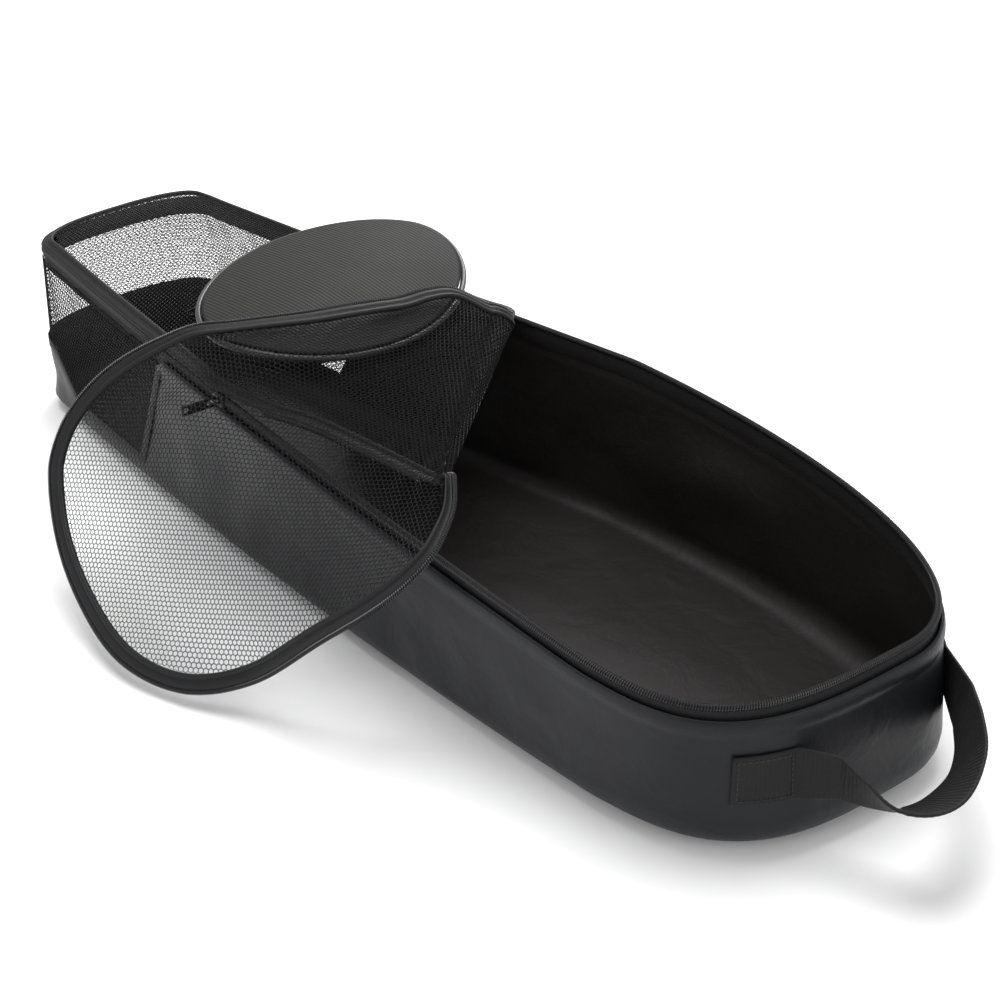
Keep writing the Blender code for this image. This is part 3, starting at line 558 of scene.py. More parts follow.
def knit(name, grid):
    """Net on a grid: it is laid flat, covered with cells, and each cell goes back to its place."""
    rows, columns = grid.shape[:2]
    laid = unrolled(grid).reshape(-1, 2)
    faces = grid_faces(rows, columns)
    faces = [half for a, b, c, d in faces for half in ((a, b, c), (a, c, d))]
    flat = [Vector((x, y, 0.0)) for x, y in laid]
    real = [Vector(point) for point in grid.reshape(-1, 3).tolist()]
    tree = BVHTree.FromPolygons(flat, faces)
    down = Vector((0.0, 0.0, -1.0))

    def back(x, y, snap):
        start = Vector((x, y, 1.0))
        hit, _, face, _ = tree.ray_cast(start, down)
        if hit is None:
            if not snap:
                return None
            hit, _, face, _ = tree.find_nearest(Vector((x, y, 0.0)))
        a, b, c = faces[face]
        return barycentric_transform(hit, flat[a], flat[b], flat[c], real[a], real[b], real[c])

    reach = NET_PITCH / math.sqrt(3)
    corner_turns = [math.radians(30 + 60 * corner) for corner in range(6)]
    points, known, quads = [], {}, []
    for x, y in net_cells(laid.min(axis=0), laid.max(axis=0)):
        if back(x, y, False) is None:
            continue
        outer = []
        for turn in corner_turns:
            corner = (x + reach * math.cos(turn), y + reach * math.sin(turn))
            key = (round(corner[0] * 2e5), round(corner[1] * 2e5))
            if key not in known:
                known[key] = len(points)
                points.append(back(*corner, True))
            outer.append(known[key])
        middle = sum((points[corner] for corner in outer), Vector()) / 6
        first = len(points)
        points += [points[corner].lerp(middle, NET_STRAND / NET_PITCH) for corner in outer]
        for side in range(6):
            after = (side + 1) % 6
            quads.append((outer[side], outer[after], first + after, first + side))
    flat_net = new_piece("flat_net", points, quads)
    facing = np.zeros(len(points) * 3)
    flat_net.data.vertex_normals.foreach_get("vector", facing)
    bpy.data.meshes.remove(flat_net.data)
    return new_piece(name, *strands(points, quads, facing.reshape(-1, 3)), nylon)


def build_side_net():
    share, across = rim_stations(TUB_AROUND)
    low = cloth_top(share) - NET_UNDER
    high = rim_height(share) - WALL_DROP
    chosen = from_near_end(high - low > WALL_DROP + NET_UNDER)
    parts = np.linspace(1, 0, SIDE_NET_ROWS)
    rows = [wall_ring(share, across, low + (high - low) * part, CLOTH / 2)[chosen] for part in parts]
    return knit("side_netting", np.array(rows))


def ribbon(name, centres, sideways, upwards, profile, finish, closed=False):
    """A profile along a path, one for all or one a place. Its pairs run sideways and upwards."""
    profile = np.asarray(profile, float)
    sections = centres[:, None] + sideways[:, None] * profile[..., :1] + upwards[:, None] * profile[..., 1:]
    count, sides = sections.shape[:2]
    if closed:
        faces = grid_faces(count + 1, sides, wrap=True)
        faces = [tuple(corner % (count * sides) for corner in face) for face in faces]
    else:
        faces = tube_faces(count, sides)
    piece = new_piece(name, sections.reshape(-1, 3), faces, finish)
    faces_out(piece)
    return piece


def soft_flat_profile(width, thick):
    """A flat strip's section with rounded edges."""
    half = width / 2 - thick / 2
    turns = np.linspace(-TAPE_ROUND, TAPE_ROUND, 5)
    right = [(half + thick / 2 * math.cos(turn), thick / 2 * math.sin(turn)) for turn in turns]
    return right + [(-x, -y) for x, y in right]


def woven_finish(name, colour, roughness, ribs=650.0):
    """Woven tape: fine ribs with a little sheen."""
    grain = [dict(scale=ribs, detail=2.0, strength=0.6, distance=0.0004)]
    sheen = {"Sheen Weight": WOVEN_SHEEN}
    return finish(name, colour, roughness, uneven=(0.3, 45.0, 0.06), grain=grain, **sheen)


edge_tape_finish = woven_finish("edge_tape", (0.0085, 0.0085, 0.0095), 0.6)


def build_edge_tape():
    """Tape over the cloth's low edge, on the outer face of the wall."""
    share, across = rim_stations(TUB_AROUND)
    chosen = from_near_end(share < EDGE_TAPE_ENDS)
    middle = wall_ring(share, across, cloth_top(share) - EDGE_TAPE_WIDTH * EDGE_TAPE_SET)[chosen]
    out = outwards(middle)
    middle += out * EDGE_TAPE_THICK * EDGE_TAPE_SET
    rise = units(np.cross(out, tangents(middle)))
    profile = soft_flat_profile(EDGE_TAPE_WIDTH, EDGE_TAPE_THICK)
    return ribbon("edge_tape", middle, rise, out, profile, edge_tape_finish)


side_netting = on_bag(build_side_net(), "net", "side_net")
edge_tape = on_bag(build_edge_tape(), "band")


# Zip round the rim
# A nylon coil on a woven tape that is sewn inside the wall's top edge. The coil is one long spiral of
# monofilament round a cord, so it shows as fine even ribs.

TAPE_WIDTH = 0.0110
TAPE_THICK = 0.0010
COIL_INSET = CLOTH + CLEAR + TAPE_THICK / 2
COIL_RADIUS = 0.0022
TAPE_REACHES = 0.45
COIL_PITCH = 0.0014
COIL_WIRE = 0.00052
COIL_STEPS = 8
COIL_CORD = 1.6
WIRE_SIDES = 4
CORD_SIDES = 8

zip_tape_finish = woven_finish("zip_tape", (0.0075, 0.0075, 0.0085), 0.65)
coil_nylon = finish("zip_coil", (0.016, 0.016, 0.018), 0.3, gloss=0.45, uneven=(0.15, 90.0, 0.05))


def round_profile(radius, sides):
    turn = round_turns(sides)
    return np.stack((radius * np.cos(turn), radius * np.sin(turn)), 1)


def zip_coil(name, path, radius, *nodes, closed=False):
    """A spiral of nylon round a cord along a path. The spiral stands for the nodes."""
    if closed:
        path = np.concatenate((path, path[:1]))
    total = path_distances(path)[-1]
    turns = int(total / COIL_PITCH)
    line = at_distances(path, np.linspace(0, total, turns * COIL_STEPS + 1))
    along = tangents(line)
    side = units(np.cross(along, UP))
    up = np.cross(side, along)
    angle = np.arange(len(line)) * 2 * math.pi / COIL_STEPS
    around = side * np.cos(angle)[:, None] + up * np.sin(angle)[:, None]
    wire_line = line + around * (radius - COIL_WIRE)
    wire_along = tangents(wire_line)
    out = square_to(around, wire_along)
    profile = round_profile(COIL_WIRE, WIRE_SIDES)
    spiral = ribbon(name, wire_line, out, np.cross(wire_along, out), profile, coil_nylon)
    core_line, core_side, core_up = (part[:: COIL_STEPS * 2] for part in (line, side, up))
    profile = round_profile(radius - COIL_CORD * COIL_WIRE, CORD_SIDES)
    core = ribbon(name + "_cord", core_line, core_side, core_up, profile, zip_tape_finish)
    on_bag(spiral, "zip_coil", *nodes)
    on_bag(core, "zip_coil")


def build_rim_zip():
    share, across = rim_stations(TUB_AROUND)
    full = rim_height(share)
    coil = wall_ring(share, across, full, COIL_INSET)
    out = outwards(coil, closed=True)
    top = full - COIL_RADIUS * TAPE_REACHES
    tape = wall_ring(share, across, top - TAPE_WIDTH / 2, COIL_INSET)
    lean = units(wall_ring(share, across, top, COIL_INSET) - tape)
    profile = [(y, x) for x, y in soft_flat_profile(TAPE_WIDTH, TAPE_THICK)]
    strip = ribbon("rim_zip_tape", tape, out, lean, profile, zip_tape_finish, closed=True)
    on_bag(strip, "band", "rim_tape")
    zip_coil("rim_zip_coil", coil, COIL_RADIUS, "rim_coil", closed=True)


build_rim_zip()


# Net top and the folded flap: bands and nets
# The top is one piece of the same net inside a woven band with a piped inner edge. Its far half is
# zipped down. The near half is folded back over the pocket and the left rim, down to the ground, and
# its half of the parted zip runs along the band's outer edge.

BAND_WIDTH = 0.0095
BAND_THICK = 0.0016
BAND_INSET = 0.0010
BAND_TILT = math.radians(25)
HAIRPIN_TILTS = dict(right=(0, 0.4, 0.8), left=0.7)
PIPING_RADIUS = 0.0018
FLAP_COIL_RADIUS = 0.0015
COIL_SUNK = 0.0004
BAND_CLOSED = dict(left=0.400, right=0.452)
EDGE_GAP = 0.0008
LID_CROWN = 0.0060
FLAP_MARGIN = 0.0040
FLAP_EASE = 0.08
SETTLE_REACH = 0.0165
LID_ACROSS = 12
LID_ALONG = 15
FLAP_ACROSS = 13
FLAP_ALONG = 20
ROLL_ROWS = 5
ROLL_STEP = 0.018
SIDE_STATIONS = 22
TIP_CORNERS = (0.43, 0.66)
FINER = 6
CORD_WIDTH = 0.0044
CORD_HIGH = 0.00105
TURN_PULL = 0.030
TURN_STEPS = 8
TURN_WIDTHS = (0.92, 0.76, 0.58, 0.42, 0.35, 0.35, 0.35, 0.35, 0.35, 0.35, 0.42, 0.55, 0.80, 1.00)
TURN_DRAWS_IN = 0.6
TURN_RISE = 2.6
CORD_TURN = 2.7
BEAD_OPENS = 0.15
GROOVE = 0.0004
CORD_POINTS = 13
BEAD_POINTS = 14
SEAM_BESIDE = 0.0006
LID_UNDER_BAND = 0.0006
LID_CORNER = 0.75
EDGE_STEPS = 80
SETTLE_TIMES = 6
SETTLE_EVENS = 0.5
FACING_TIMES = 3
BAND_FINER = 5
COIL_FINER = 4
PLACE = ("along", "across", "height")

LIFTED_BAND = (
    dict(along=-0.030, across=-0.428, height=1.024),
    dict(along=0.020, across=-0.410, height=1.040),
    dict(along=0.066, across=-0.402, height=1.040),
    dict(along=0.113, across=-0.400, height=1.046),
    dict(along=0.152, across=-0.406, height=1.060),
)
FLAP_EDGE = (
    dict(along=-0.034, across=0.345, height=0.985),
    dict(along=-0.030, across=0.332, height=1.030),
    dict(along=-0.036, across=0.300, height=1.071),
    dict(along=-0.054, across=0.226, height=1.121),
    dict(along=-0.064, across=0.125, height=1.196),
    dict(along=-0.066, across=-0.072, height=1.281),
    dict(along=-0.079, across=-0.233, height=1.306),
    dict(along=-0.122, across=-0.390, height=1.269),
    dict(along=-0.168, across=-0.496, height=1.154),
    dict(along=-0.206, across=-0.612, height=0.921),
    dict(along=-0.211, across=-0.722, height=0.632),
    dict(along=-0.173, across=-0.802, height=0.359),
    dict(along=-0.104, across=-0.872, height=0.172),
    dict(along=-0.024, across=-0.911, height=0.070),
    dict(along=0.045, across=-0.872, height=0.052),
    dict(along=0.101, across=-0.790, height=0.182),
    dict(along=0.163, across=-0.732, height=0.520),
    dict(along=0.213, across=-0.671, height=0.806),
    dict(along=0.230, across=-0.575, height=1.000),
    dict(along=0.214, across=-0.478, height=1.094),
    dict(along=0.190, across=-0.423, height=1.150),
    dict(along=0.180, across=-0.410, height=1.135),
    dict(along=0.168, across=-0.408, height=1.071),
)

band_finish = woven_finish("band_cloth", (0.0080, 0.0080, 0.0090), 0.55)


def smooth_rows(rows, per_row):
    """A smooth curve or surface through rows, with more rows between."""
    rows = np.asarray(rows, float)
    padded = np.concatenate((2 * rows[:1] - rows[1:2], rows, 2 * rows[-1:] - rows[-2:-1]))
    place = np.linspace(0, len(rows) - 1, (len(rows) - 1) * per_row + 1)
    start = np.minimum(place.astype(int), len(rows) - 2)
    t = (place - start).reshape((-1,) + (1,) * (rows.ndim - 1))
    before, here, there, after = (padded[start + step] for step in range(4))
    bend = 2 * before - 5 * here + 4 * there - after
    twist = 3 * (here - there) + after - before
    return here + 0.5 * t * (there - before + t * (bend + t * twist))


def table_curve(table, columns, per_row=12):
    return smooth_rows([[row[column] for column in columns] for row in table], per_row)


def finer_grid(grid):
    return smooth_rows(smooth_rows(grid, FINER).swapaxes(0, 1), FINER).swapaxes(0, 1)


def evenly(points, count):
    return at_distances(points, np.linspace(0, path_distances(points)[-1], count))


def side_stations(side, last_share, count):
    metres = half_outline(side) * (LENGTH, 1)
    end = np.interp(last_share * LENGTH, metres[:, 0], path_distances(metres))
    spaced = at_distances(metres, np.linspace(0, end, count))
    return spaced[:, 0] / LENGTH, spaced[:, 1]


def in_shares(curve):
    return curve * (LENGTH, NEAR_WIDTH, FAR_RIM)


def flap_edge():
    return in_shares(table_curve(FLAP_EDGE, PLACE))


def band_path():
    """Middle of the band, from the right hairpin round the far end to the left hairpin."""
    parts = []
    for side in ("right", "left"):
        share, across = side_stations(side, BAND_CLOSED[side], SIDE_STATIONS)
        path = placed(share, across, rim_height(share))
        parts.append(path[::-1] if side == "right" else path[1:])
    rim = np.concatenate(parts)
    out = outwards(rim)
    inset = BAND_INSET + BAND_WIDTH / 2 * math.cos(BAND_TILT)
    rise = COIL_RADIUS + CLEAR + BAND_THICK / 2 + BAND_WIDTH / 2 * math.sin(BAND_TILT)
    closed = rim - out * inset + UP * rise
    edge = flap_edge()
    lifted = in_shares(table_curve(LIFTED_BAND, PLACE, per_row=3))
    path = np.concatenate((edge[:1], closed, lifted, edge[-1:]))
    tilt = np.full(len(path), BAND_TILT)
    tilt[:3] = BAND_TILT * np.array(HAIRPIN_TILTS["right"])
    tilt[-len(lifted) - 1 :] = BAND_TILT * np.linspace(HAIRPIN_TILTS["left"], 0, len(lifted) + 1)
    return path, tilt, len(closed) + 1


def band_frame(path, tilt):
    """Directions across the band and out of its face."""
    out = outwards(path)
    sideways = out * np.cos(tilt)[:, None] - UP * np.sin(tilt)[:, None]
    upwards = out * np.sin(tilt)[:, None] + UP * np.cos(tilt)[:, None]
    return sideways, upwards


def coons(first, last, left, right):
    """A grid spanned by four edges: rows run from first to last, columns from left to right."""
    v = np.linspace(0, 1, len(left))[:, None, None]
    u = np.linspace(0, 1, len(first))[None, :, None]
    across = (1 - v) * first[None] + v * last[None]
    along = (1 - u) * left[:, None] + u * right[:, None]
    corners = (1 - v) * ((1 - u) * first[0] + u * first[-1]) + v * ((1 - u) * last[0] + u * last[-1])
    return across + along - corners


def flap_rows(side):
    """Points down one side of the flap, close together where it rolls over."""
    total = path_distances(side)[-1]
    roll = ROLL_STEP * total * np.arange(ROLL_ROWS)
    rest = np.linspace(roll[-1], total, FLAP_ALONG - ROLL_ROWS + 1)[1:]
    return at_distances(side, np.concatenate((roll, rest)))


def flap_grid():
    """The flap's net before it settles: rows from the fold to the tip, columns from left to right."""
    edge = flap_edge()
    along = path_distances(edge)
    first_corner, last_corner = (share * along[-1] for share in TIP_CORNERS)
    right = at_distances(edge, np.linspace(0, first_corner, EDGE_STEPS))
    tip = at_distances(edge, np.linspace(last_corner, first_corner, FLAP_ACROSS))
    left = at_distances(edge, np.linspace(along[-1], last_corner, EDGE_STEPS))
    fold = np.linspace(edge[-1], edge[0], FLAP_ACROSS)
    return coons(fold, tip, flap_rows(left), flap_rows(right))


def settle(grid, under, keep_border=False):
    """Lifts the flap clear of the points under it and of the ground, and evens it out."""
    settled = grid.copy()
    free = settled[ROLL_ROWS:-1, 1:-1] if keep_border else settled[ROLL_ROWS:]
    flat = free.reshape(-1, 3)
    away = np.linalg.norm(flat[:, None, :2] - under[None, :, :2], axis=2)
    lowest = np.where(away < SETTLE_REACH, under[None, :, 2] + FLAP_MARGIN, 0).max(axis=1)
    lowest = lowest.reshape(free.shape[:2])
    for _ in range(SETTLE_TIMES):
        free[:, :, 2] = np.maximum(free[:, :, 2], lowest)
        around = settled[:-2, 1:-1] + settled[2:, 1:-1] + settled[1:-1, :-2] + settled[1:-1, 2:]
        inner = settled[1:-1, 1:-1]
        inner[ROLL_ROWS - 1 :, :, 2] += SETTLE_EVENS * (around / 4 - inner)[ROLL_ROWS - 1 :, :, 2]
    free[:, :, 2] = np.maximum(free[:, :, 2], lowest)
    return settled


def flap_border(grid):
    """The flap's edge from the right hairpin on, with directions across the band and out of its face."""
    rows, columns = grid.shape[:2]
    order = [(row, columns - 1, row, columns - 2) for row in range(rows - 1)]
    order.append((rows - 1, columns - 1, rows - 2, columns - 2))
    order += [(rows - 1, column, rows - 2, column) for column in range(columns - 2, 0, -1)]
    order.append((rows - 1, 0, rows - 2, 1))
    order += [(row, 0, row, 1) for row in range(rows - 2, -1, -1)]
    order = np.array(order)
    edge = grid[order[:, 0], order[:, 1]]
    inner = grid[order[:, 2], order[:, 3]]
    inner[-ROLL_ROWS - 2 :] = grid[rows // 2, columns // 3]
    along = tangents(edge)
    sideways = units(edge - inner)
    for _ in range(FACING_TIMES):
        padded = np.concatenate((sideways[:1], sideways, sideways[-1:]))
        sideways = square_to(units(padded[:-2] + 2 * padded[1:-1] + padded[2:]), along)
    return order, edge, sideways, np.cross(along, sideways)


def lid_grid(path, sideways, fold):
    """Net top of the far part, inside the band, up to the fold."""
    inside = path - sideways * (BAND_WIDTH / 2 + EDGE_GAP)
    middle = SIDE_STATIONS
    corner = int(np.ceil(LID_CORNER * FAR_WIDTH / 2 / (path_distances(path)[-1] / len(path))))
    right = np.concatenate((inside[1 : middle - corner + 1][::-1], fold[-1:]))
    left = np.concatenate((inside[middle + corner : -1], fold[:1]))
    far = evenly(inside[middle - corner : middle + corner + 1][::-1], LID_ACROSS)
    grid = coons(far, evenly(fold, LID_ACROSS), evenly(left, LID_ALONG), evenly(right, LID_ALONG))
    u = np.linspace(0, 1, LID_ACROSS)[None, :]
    v = np.linspace(0, 1, LID_ALONG)[:, None]
    grid[:, :, 2] += LID_CROWN * 4 * u * (1 - u) * np.sqrt(np.clip(4 * v * (1 - v), 0, 1))
    return grid


def meet_bands(path, lid_frame, middle, flap_frame):
    """Gives both bands one section at the right hairpin, with a small gap between them."""
    along = units(middle[1] - path[1])
    sideways = square_to(flap_frame[0][0], along)
    for directions in (lid_frame, flap_frame):
        directions[0][0] = sideways
        directions[1][0] = np.cross(along, sideways)
    path[0] = middle[0] - along * CLEAR / 2
    middle[0] = middle[0] + along * CLEAR / 2


def flap_band_middle(edge, across):
    """Middle of the flap's band: inside the outline by the coil and half the band, less at its left end."""
    along = path_distances(edge)
    ease = np.clip((along[-1] - along) / (FLAP_EASE * along[-1]), 0, 1)
    ease = ease**2 * (3 - 2 * ease)
    return edge - across * ((BAND_WIDTH / 2 + CLEAR + 2 * FLAP_COIL_RADIUS) * ease)[:, None]


def left_turn(middle, across, end, heading, end_across):
    """The flap's band carried on round the left turn, where it bunches up and rolls over to the lid's."""
    start = middle[-3]
    leaves = units(middle[-3] - middle[-4]) * TURN_PULL
    arrives = -units(heading) * TURN_PULL
    t = np.linspace(0, 1, TURN_STEPS + 1)[1:, None]
    curve = start * (2 * t**3 - 3 * t**2 + 1) + leaves * (t**3 - 2 * t**2 + t)
    curve += end * (3 * t**2 - 2 * t**3) + arrives * (t**3 - t**2)
    whole = np.concatenate((middle[:-2], curve))
    side = across[-3] * (1 - t) ** 2 + UP * TURN_RISE * t * (1 - t) + end_across * t**2
    side = np.concatenate((across[:-2], side))
    along = tangents(whole)
    side = square_to(side, along)
    widths = np.ones(len(whole))
    widths[-len(TURN_WIDTHS) :] = TURN_WIDTHS
    whole = whole - side * ((1 - widths) * BAND_WIDTH / 2 * TURN_DRAWS_IN)[:, None]
    return whole, side, np.cross(along, side), widths


def draw_in(grid, order, border):
    """Moves a grid's border to new points, and all between along with it."""
    moves = np.zeros(grid.shape)
    moves[order[:, 0], order[:, 1]] = border - grid[order[:, 0], order[:, 1]]
    moves[0] = np.linspace(moves[0, 0], moves[0, -1], grid.shape[1])
    return grid + coons(moves[0], moves[-1], moves[:, 0], moves[:, -1])


def reach_under(grid, first=False, last=True, sides=True):
    """The grid with its border carried on under the band."""

    def carried(edge, inner):
        return edge + units(edge - inner) * NET_UNDER

    if first:
        grid = np.concatenate((carried(grid[:1], grid[1:2]), grid))
    if last:
        grid = np.concatenate((grid, carried(grid[-1:], grid[-2:-1])))
    if sides:
        left = carried(grid[:, :1], grid[:, 1:2])
        right = carried(grid[:, -1:], grid[:, -2:-1])
        grid = np.concatenate((left, grid, right), axis=1)
    return grid


def piped_profile():
    """The band's section: a tape folded full along its outer edge, and a round piping along its inner one."""
    middle = -BAND_WIDTH / 2 + PIPING_RADIUS
    half = BAND_THICK / 2
    cord = BAND_WIDTH / 2 - CORD_WIDTH / 2
    turns = np.linspace(-CORD_TURN, CORD_TURN, CORD_POINTS)
    outer = [(cord + CORD_WIDTH / 2 * math.cos(t), CORD_HIGH * math.sin(t)) for t in turns]
    meets = math.asin(half / PIPING_RADIUS) + BEAD_OPENS
    turns = np.linspace(meets, 2 * math.pi - meets, BEAD_POINTS)
    bead = [(middle + PIPING_RADIUS * math.cos(t), PIPING_RADIUS * math.sin(t)) for t in turns]
    groove = middle + PIPING_RADIUS * math.cos(meets) + GROOVE
    return [*outer, (groove, half * 0.5), *bead, (groove, -half * 0.5)]


def build_band(name, centres, sideways, face, widths=None):
    """A band along a path, with stitches beside its piping. Widths are shares of its full width."""
    fine = smooth_rows(centres, BAND_FINER)
    side = units(smooth_rows(sideways, BAND_FINER))
    if widths is not None:
        side = side * smooth_rows(widths, BAND_FINER)[:, None]
    up = units(smooth_rows(face, BAND_FINER))
    band = ribbon(name, fine, side, up, piped_profile(), band_finish)
    middle = -BAND_WIDTH / 2 + 2 * PIPING_RADIUS + SEAM_BESIDE
    stitches = stitch_row(name + "_stitches", fine + side * middle + up * BAND_THICK / 4, up)
    on_bag(stitches, "band")
    return band


# Pocket on the net top
# A flat oval mask pocket: a gusset that flares from the net, a stiff panel of ribbed cloth with a piped
# edge, and a fine zip round the gusset. It is zipped shut, and its panel is left plain.

POCKET_LENGTH = 0.212
POCKET_WIDTH = 0.143
POCKET_RISE = 0.0320
POCKET_TURN = math.radians(20.7)
POCKET_ALONG = 0.368
POCKET_ACROSS = -0.005
POCKET_BASE = 0.84
POCKET_CROWN = 0.0030
POCKET_SAG = 0.0130
POCKET_PIPING = 0.0020
POCKET_ZIP_WIDTH = 0.0050
POCKET_ZIP_THICK = 0.0014
POCKET_SLIDER_TURN = math.radians(243)
POCKET_ZIP_DOWN = 0.24
SEAM_GAP = 0.0008
OVAL_AROUND = 40
OVAL_FINER = 4
PANEL_SIZES = np.concatenate((np.linspace(1.0, 0.9, 5), np.linspace(0.8, 0.1, 8)))
PANEL_SEAM = 0.955
STITCH_LIFT = 0.0001
PIPING_SIDES = 12
GUSSET_ROWS = 9
POCKET_TAPE = dict(thick=0.55, sunk=0.0003)
POCKET_COIL = dict(radius=0.75, stands=0.0002)
PANEL_COLOUR = (0.0135, 0.0133, 0.0128)
PIPING_COLOUR = (0.030, 0.030, 0.032)
PANEL_GRAIN = (
    dict(scale=110.0, detail=1.0, distortion=0.4, strength=0.42, distance=0.0004, bands="Y"),
    dict(scale=700.0, detail=2.0, strength=0.4, distance=0.0003),
)


def height_on(grid, points):
    faces = grid_faces(*grid.shape[:2])
    tree = BVHTree.FromPolygons([Vector(point) for point in grid.reshape(-1, 3).tolist()], faces)
    heights = []
    for x, y in points[:, :2]:
        hit = tree.ray_cast((float(x), float(y), 1.0), (0.0, 0.0, -1.0))[0]
        near = hit if hit is not None else tree.find_nearest((float(x), float(y), FAR_RIM))[0]
        heights.append(near.z)
    return np.array(heights)


def oval(size, height, inset=0.0, count=OVAL_AROUND):
    """Ring of the pocket's outline, at a share of its size."""
    long_axis = np.array((-math.sin(POCKET_TURN), math.cos(POCKET_TURN), 0.0))
    short_axis = np.array((math.cos(POCKET_TURN), math.sin(POCKET_TURN), 0.0))
    centre = np.array(((POCKET_ALONG - 0.5) * LENGTH, POCKET_ACROSS * NEAR_WIDTH, 0.0))
    half_long = POCKET_LENGTH / 2 * size - inset
    half_short = POCKET_WIDTH / 2 * size - inset
    turns = round_turns(count)[:, None]
    ring = centre + long_axis * half_long * np.cos(turns) + short_axis * half_short * np.sin(turns)
    ring[:, 2] = height
    return ring


def panel_ring(size, count=OVAL_AROUND):
    """Ring on the pocket panel's upper face. The panel is crowned, and sags under the flap."""
    near_side = np.clip(size * np.sin(round_turns(count)), 0, 1)
    top = float(rim_height(np.array(POCKET_ALONG))) + POCKET_RISE
    return oval(size, top + POCKET_CROWN * (1 - size**2) - POCKET_SAG * near_side**1.5, count=count)


def panel_finish():
    """Ribbed pack cloth: close ribs along the bag, crossed by a fine weave."""
    uneven = (0.16, 30.0, 0.05)
    sheen = {"Sheen Weight": 0.01}
    return finish("pocket_panel_cloth", PANEL_COLOUR, 0.62, 0.12, uneven, PANEL_GRAIN, **sheen)


panel_cloth = panel_finish()


def build_pocket(lid):
    """Panel, gusset, piping and zip. Gives back points that the flap has to clear, and the zip's rings."""
    count = OVAL_AROUND * OVAL_FINER
    rings = np.array([panel_ring(size, count) for size in PANEL_SIZES])
    points = np.vstack((rings.reshape(-1, 3), panel_ring(0.0)[0]))
    faces = [face[::-1] for face in bowl_faces(len(rings), count)]
    panel = thickened(new_piece("pocket_front", points, faces, panel_cloth), CLOTH)
    on_bag(panel, "pocket_cloth", "pocket_panel")
    seam = panel_ring(PANEL_SEAM, count) + UP * STITCH_LIFT
    up = np.broadcast_to(UP, seam.shape)
    on_bag(stitch_row("pocket_stitches", seam, up, closed=True), "pocket_cloth")

    base = oval(POCKET_BASE, 0.0, count=count)
    base[:, 2] = height_on(lid, base) + SEAM_GAP
    brim = oval(1.0, rings[0, :, 2] - CLOTH - CLEAR, inset=CLOTH, count=count)
    walls = np.array([brim + (base - brim) * part for part in np.linspace(1, 0, GUSSET_ROWS)])
    faces = grid_faces(GUSSET_ROWS, count, wrap=True)
    gusset = new_piece("pocket_wall", walls.reshape(-1, 3), faces, panel_cloth)
    on_bag(thickened(gusset, CLOTH), "pocket_cloth", "pocket_gusset")

    edge = oval(1.0, rings[0, :, 2] - CLOTH / 2, inset=-POCKET_PIPING - CLEAR, count=count)
    profile = round_profile(POCKET_PIPING, PIPING_SIDES)
    cover = finish("pocket_piping_cloth", PIPING_COLOUR, 0.34, 0.30, (0.12, 80.0, 0.06), Roughness=0.42)
    outward = -outwards(edge, closed=True)
    piping = ribbon("pocket_edge_piping", edge, outward, up, profile, cover, closed=True)
    on_bag(piping, "pocket_cloth", "pocket_piping")

    rise = units(brim - base)
    out = square_to(-outwards(brim, closed=True), rise)
    line = brim + (base - brim) * POCKET_ZIP_DOWN + out * (2 * CLEAR + POCKET_ZIP_THICK / 2)
    strip = [(y, x) for x, y in soft_flat_profile(POCKET_ZIP_WIDTH, POCKET_ZIP_THICK * POCKET_TAPE["thick"])]
    sunk = line - out * POCKET_TAPE["sunk"]
    on_bag(ribbon("pocket_zip_tape", sunk, out, rise, strip, zip_tape_finish, True), "zip_coil", "pocket_zip")
    raised = line + out * POCKET_COIL["stands"]
    zip_coil("pocket_zip_coil", raised, POCKET_ZIP_THICK * POCKET_COIL["radius"], closed=True)

    covered = [panel_ring(size) for size in np.linspace(0.1, 1.0, 10)]
    covered = np.concatenate((*covered, edge[::OVAL_FINER] + UP * POCKET_PIPING))
    return covered, line, out, rise


# Main zip slider, pocket zip slider and their pulls
# Cast metal sliders, painted black, each with a bridge that holds a flat pull with an eye at its end.

SLIDER_LENGTH = 0.0100
SLIDER_HEIGHT = 0.0070
SLIDER_THICK = 0.0022
BRIDGE_SPAN = 0.0072
BRIDGE_STANDS = 0.0032
BRIDGE_BAR = 0.0010
BRIDGE_WIDTH = 0.0016
PULL_LENGTH = 0.0230
PULL_WIDTH = 0.0066
PULL_THICK = 0.0011
PULL_EYE = 0.0042
PULL_SLOT = (0.98, 1.35, 1.70, 2.05)
PULL_EDGE = 0.22
EYE_OPEN = 0.86
END_EYE = 1.35
PLATE_BEVEL = 0.0007
BRIDGE_BEVEL = 0.0003
POST_FOOT = 0.7
METAL_SHARP = math.radians(35)
PULL_SWEEP = dict(turns=np.arange(-80, 81, 20), parts=(0.3, 0.6, 1.0))
POCKET_SLIDER_SCALE = 0.75


def metal_finish():
    """Black paint on cast metal, with small nicks."""
    nicks = [dict(scale=1200.0, detail=2.0, strength=0.25, distance=0.0002)]
    colour = (0.035, 0.035, 0.037)
    return finish("painted_metal", colour, 0.32, uneven=(0.35, 500.0, 0.1), grain=nicks, Metallic=0.85)


slider_metal = metal_finish()


def box_part(name, low, high, bevel, segments=2):
    """A block with rounded edges, made from a cube."""
    bpy.ops.object.select_all(action="DESELECT")
    size = [top - bottom for bottom, top in zip(low, high)]
    middle = [(top + bottom) / 2 for bottom, top in zip(low, high)]
    bpy.ops.mesh.primitive_cube_add(size=1.0, location=middle)
    block = bpy.context.active_object
    block.name = name
    block.scale = size
    bpy.ops.object.transform_apply(location=True, rotation=True, scale=True)
    bpy.ops.object.mode_set(mode="EDIT")
    bpy.ops.mesh.select_all(action="SELECT")
    bpy.ops.mesh.bevel(offset=bevel, segments=segments)
    bpy.ops.object.mode_set(mode="OBJECT")
    return block


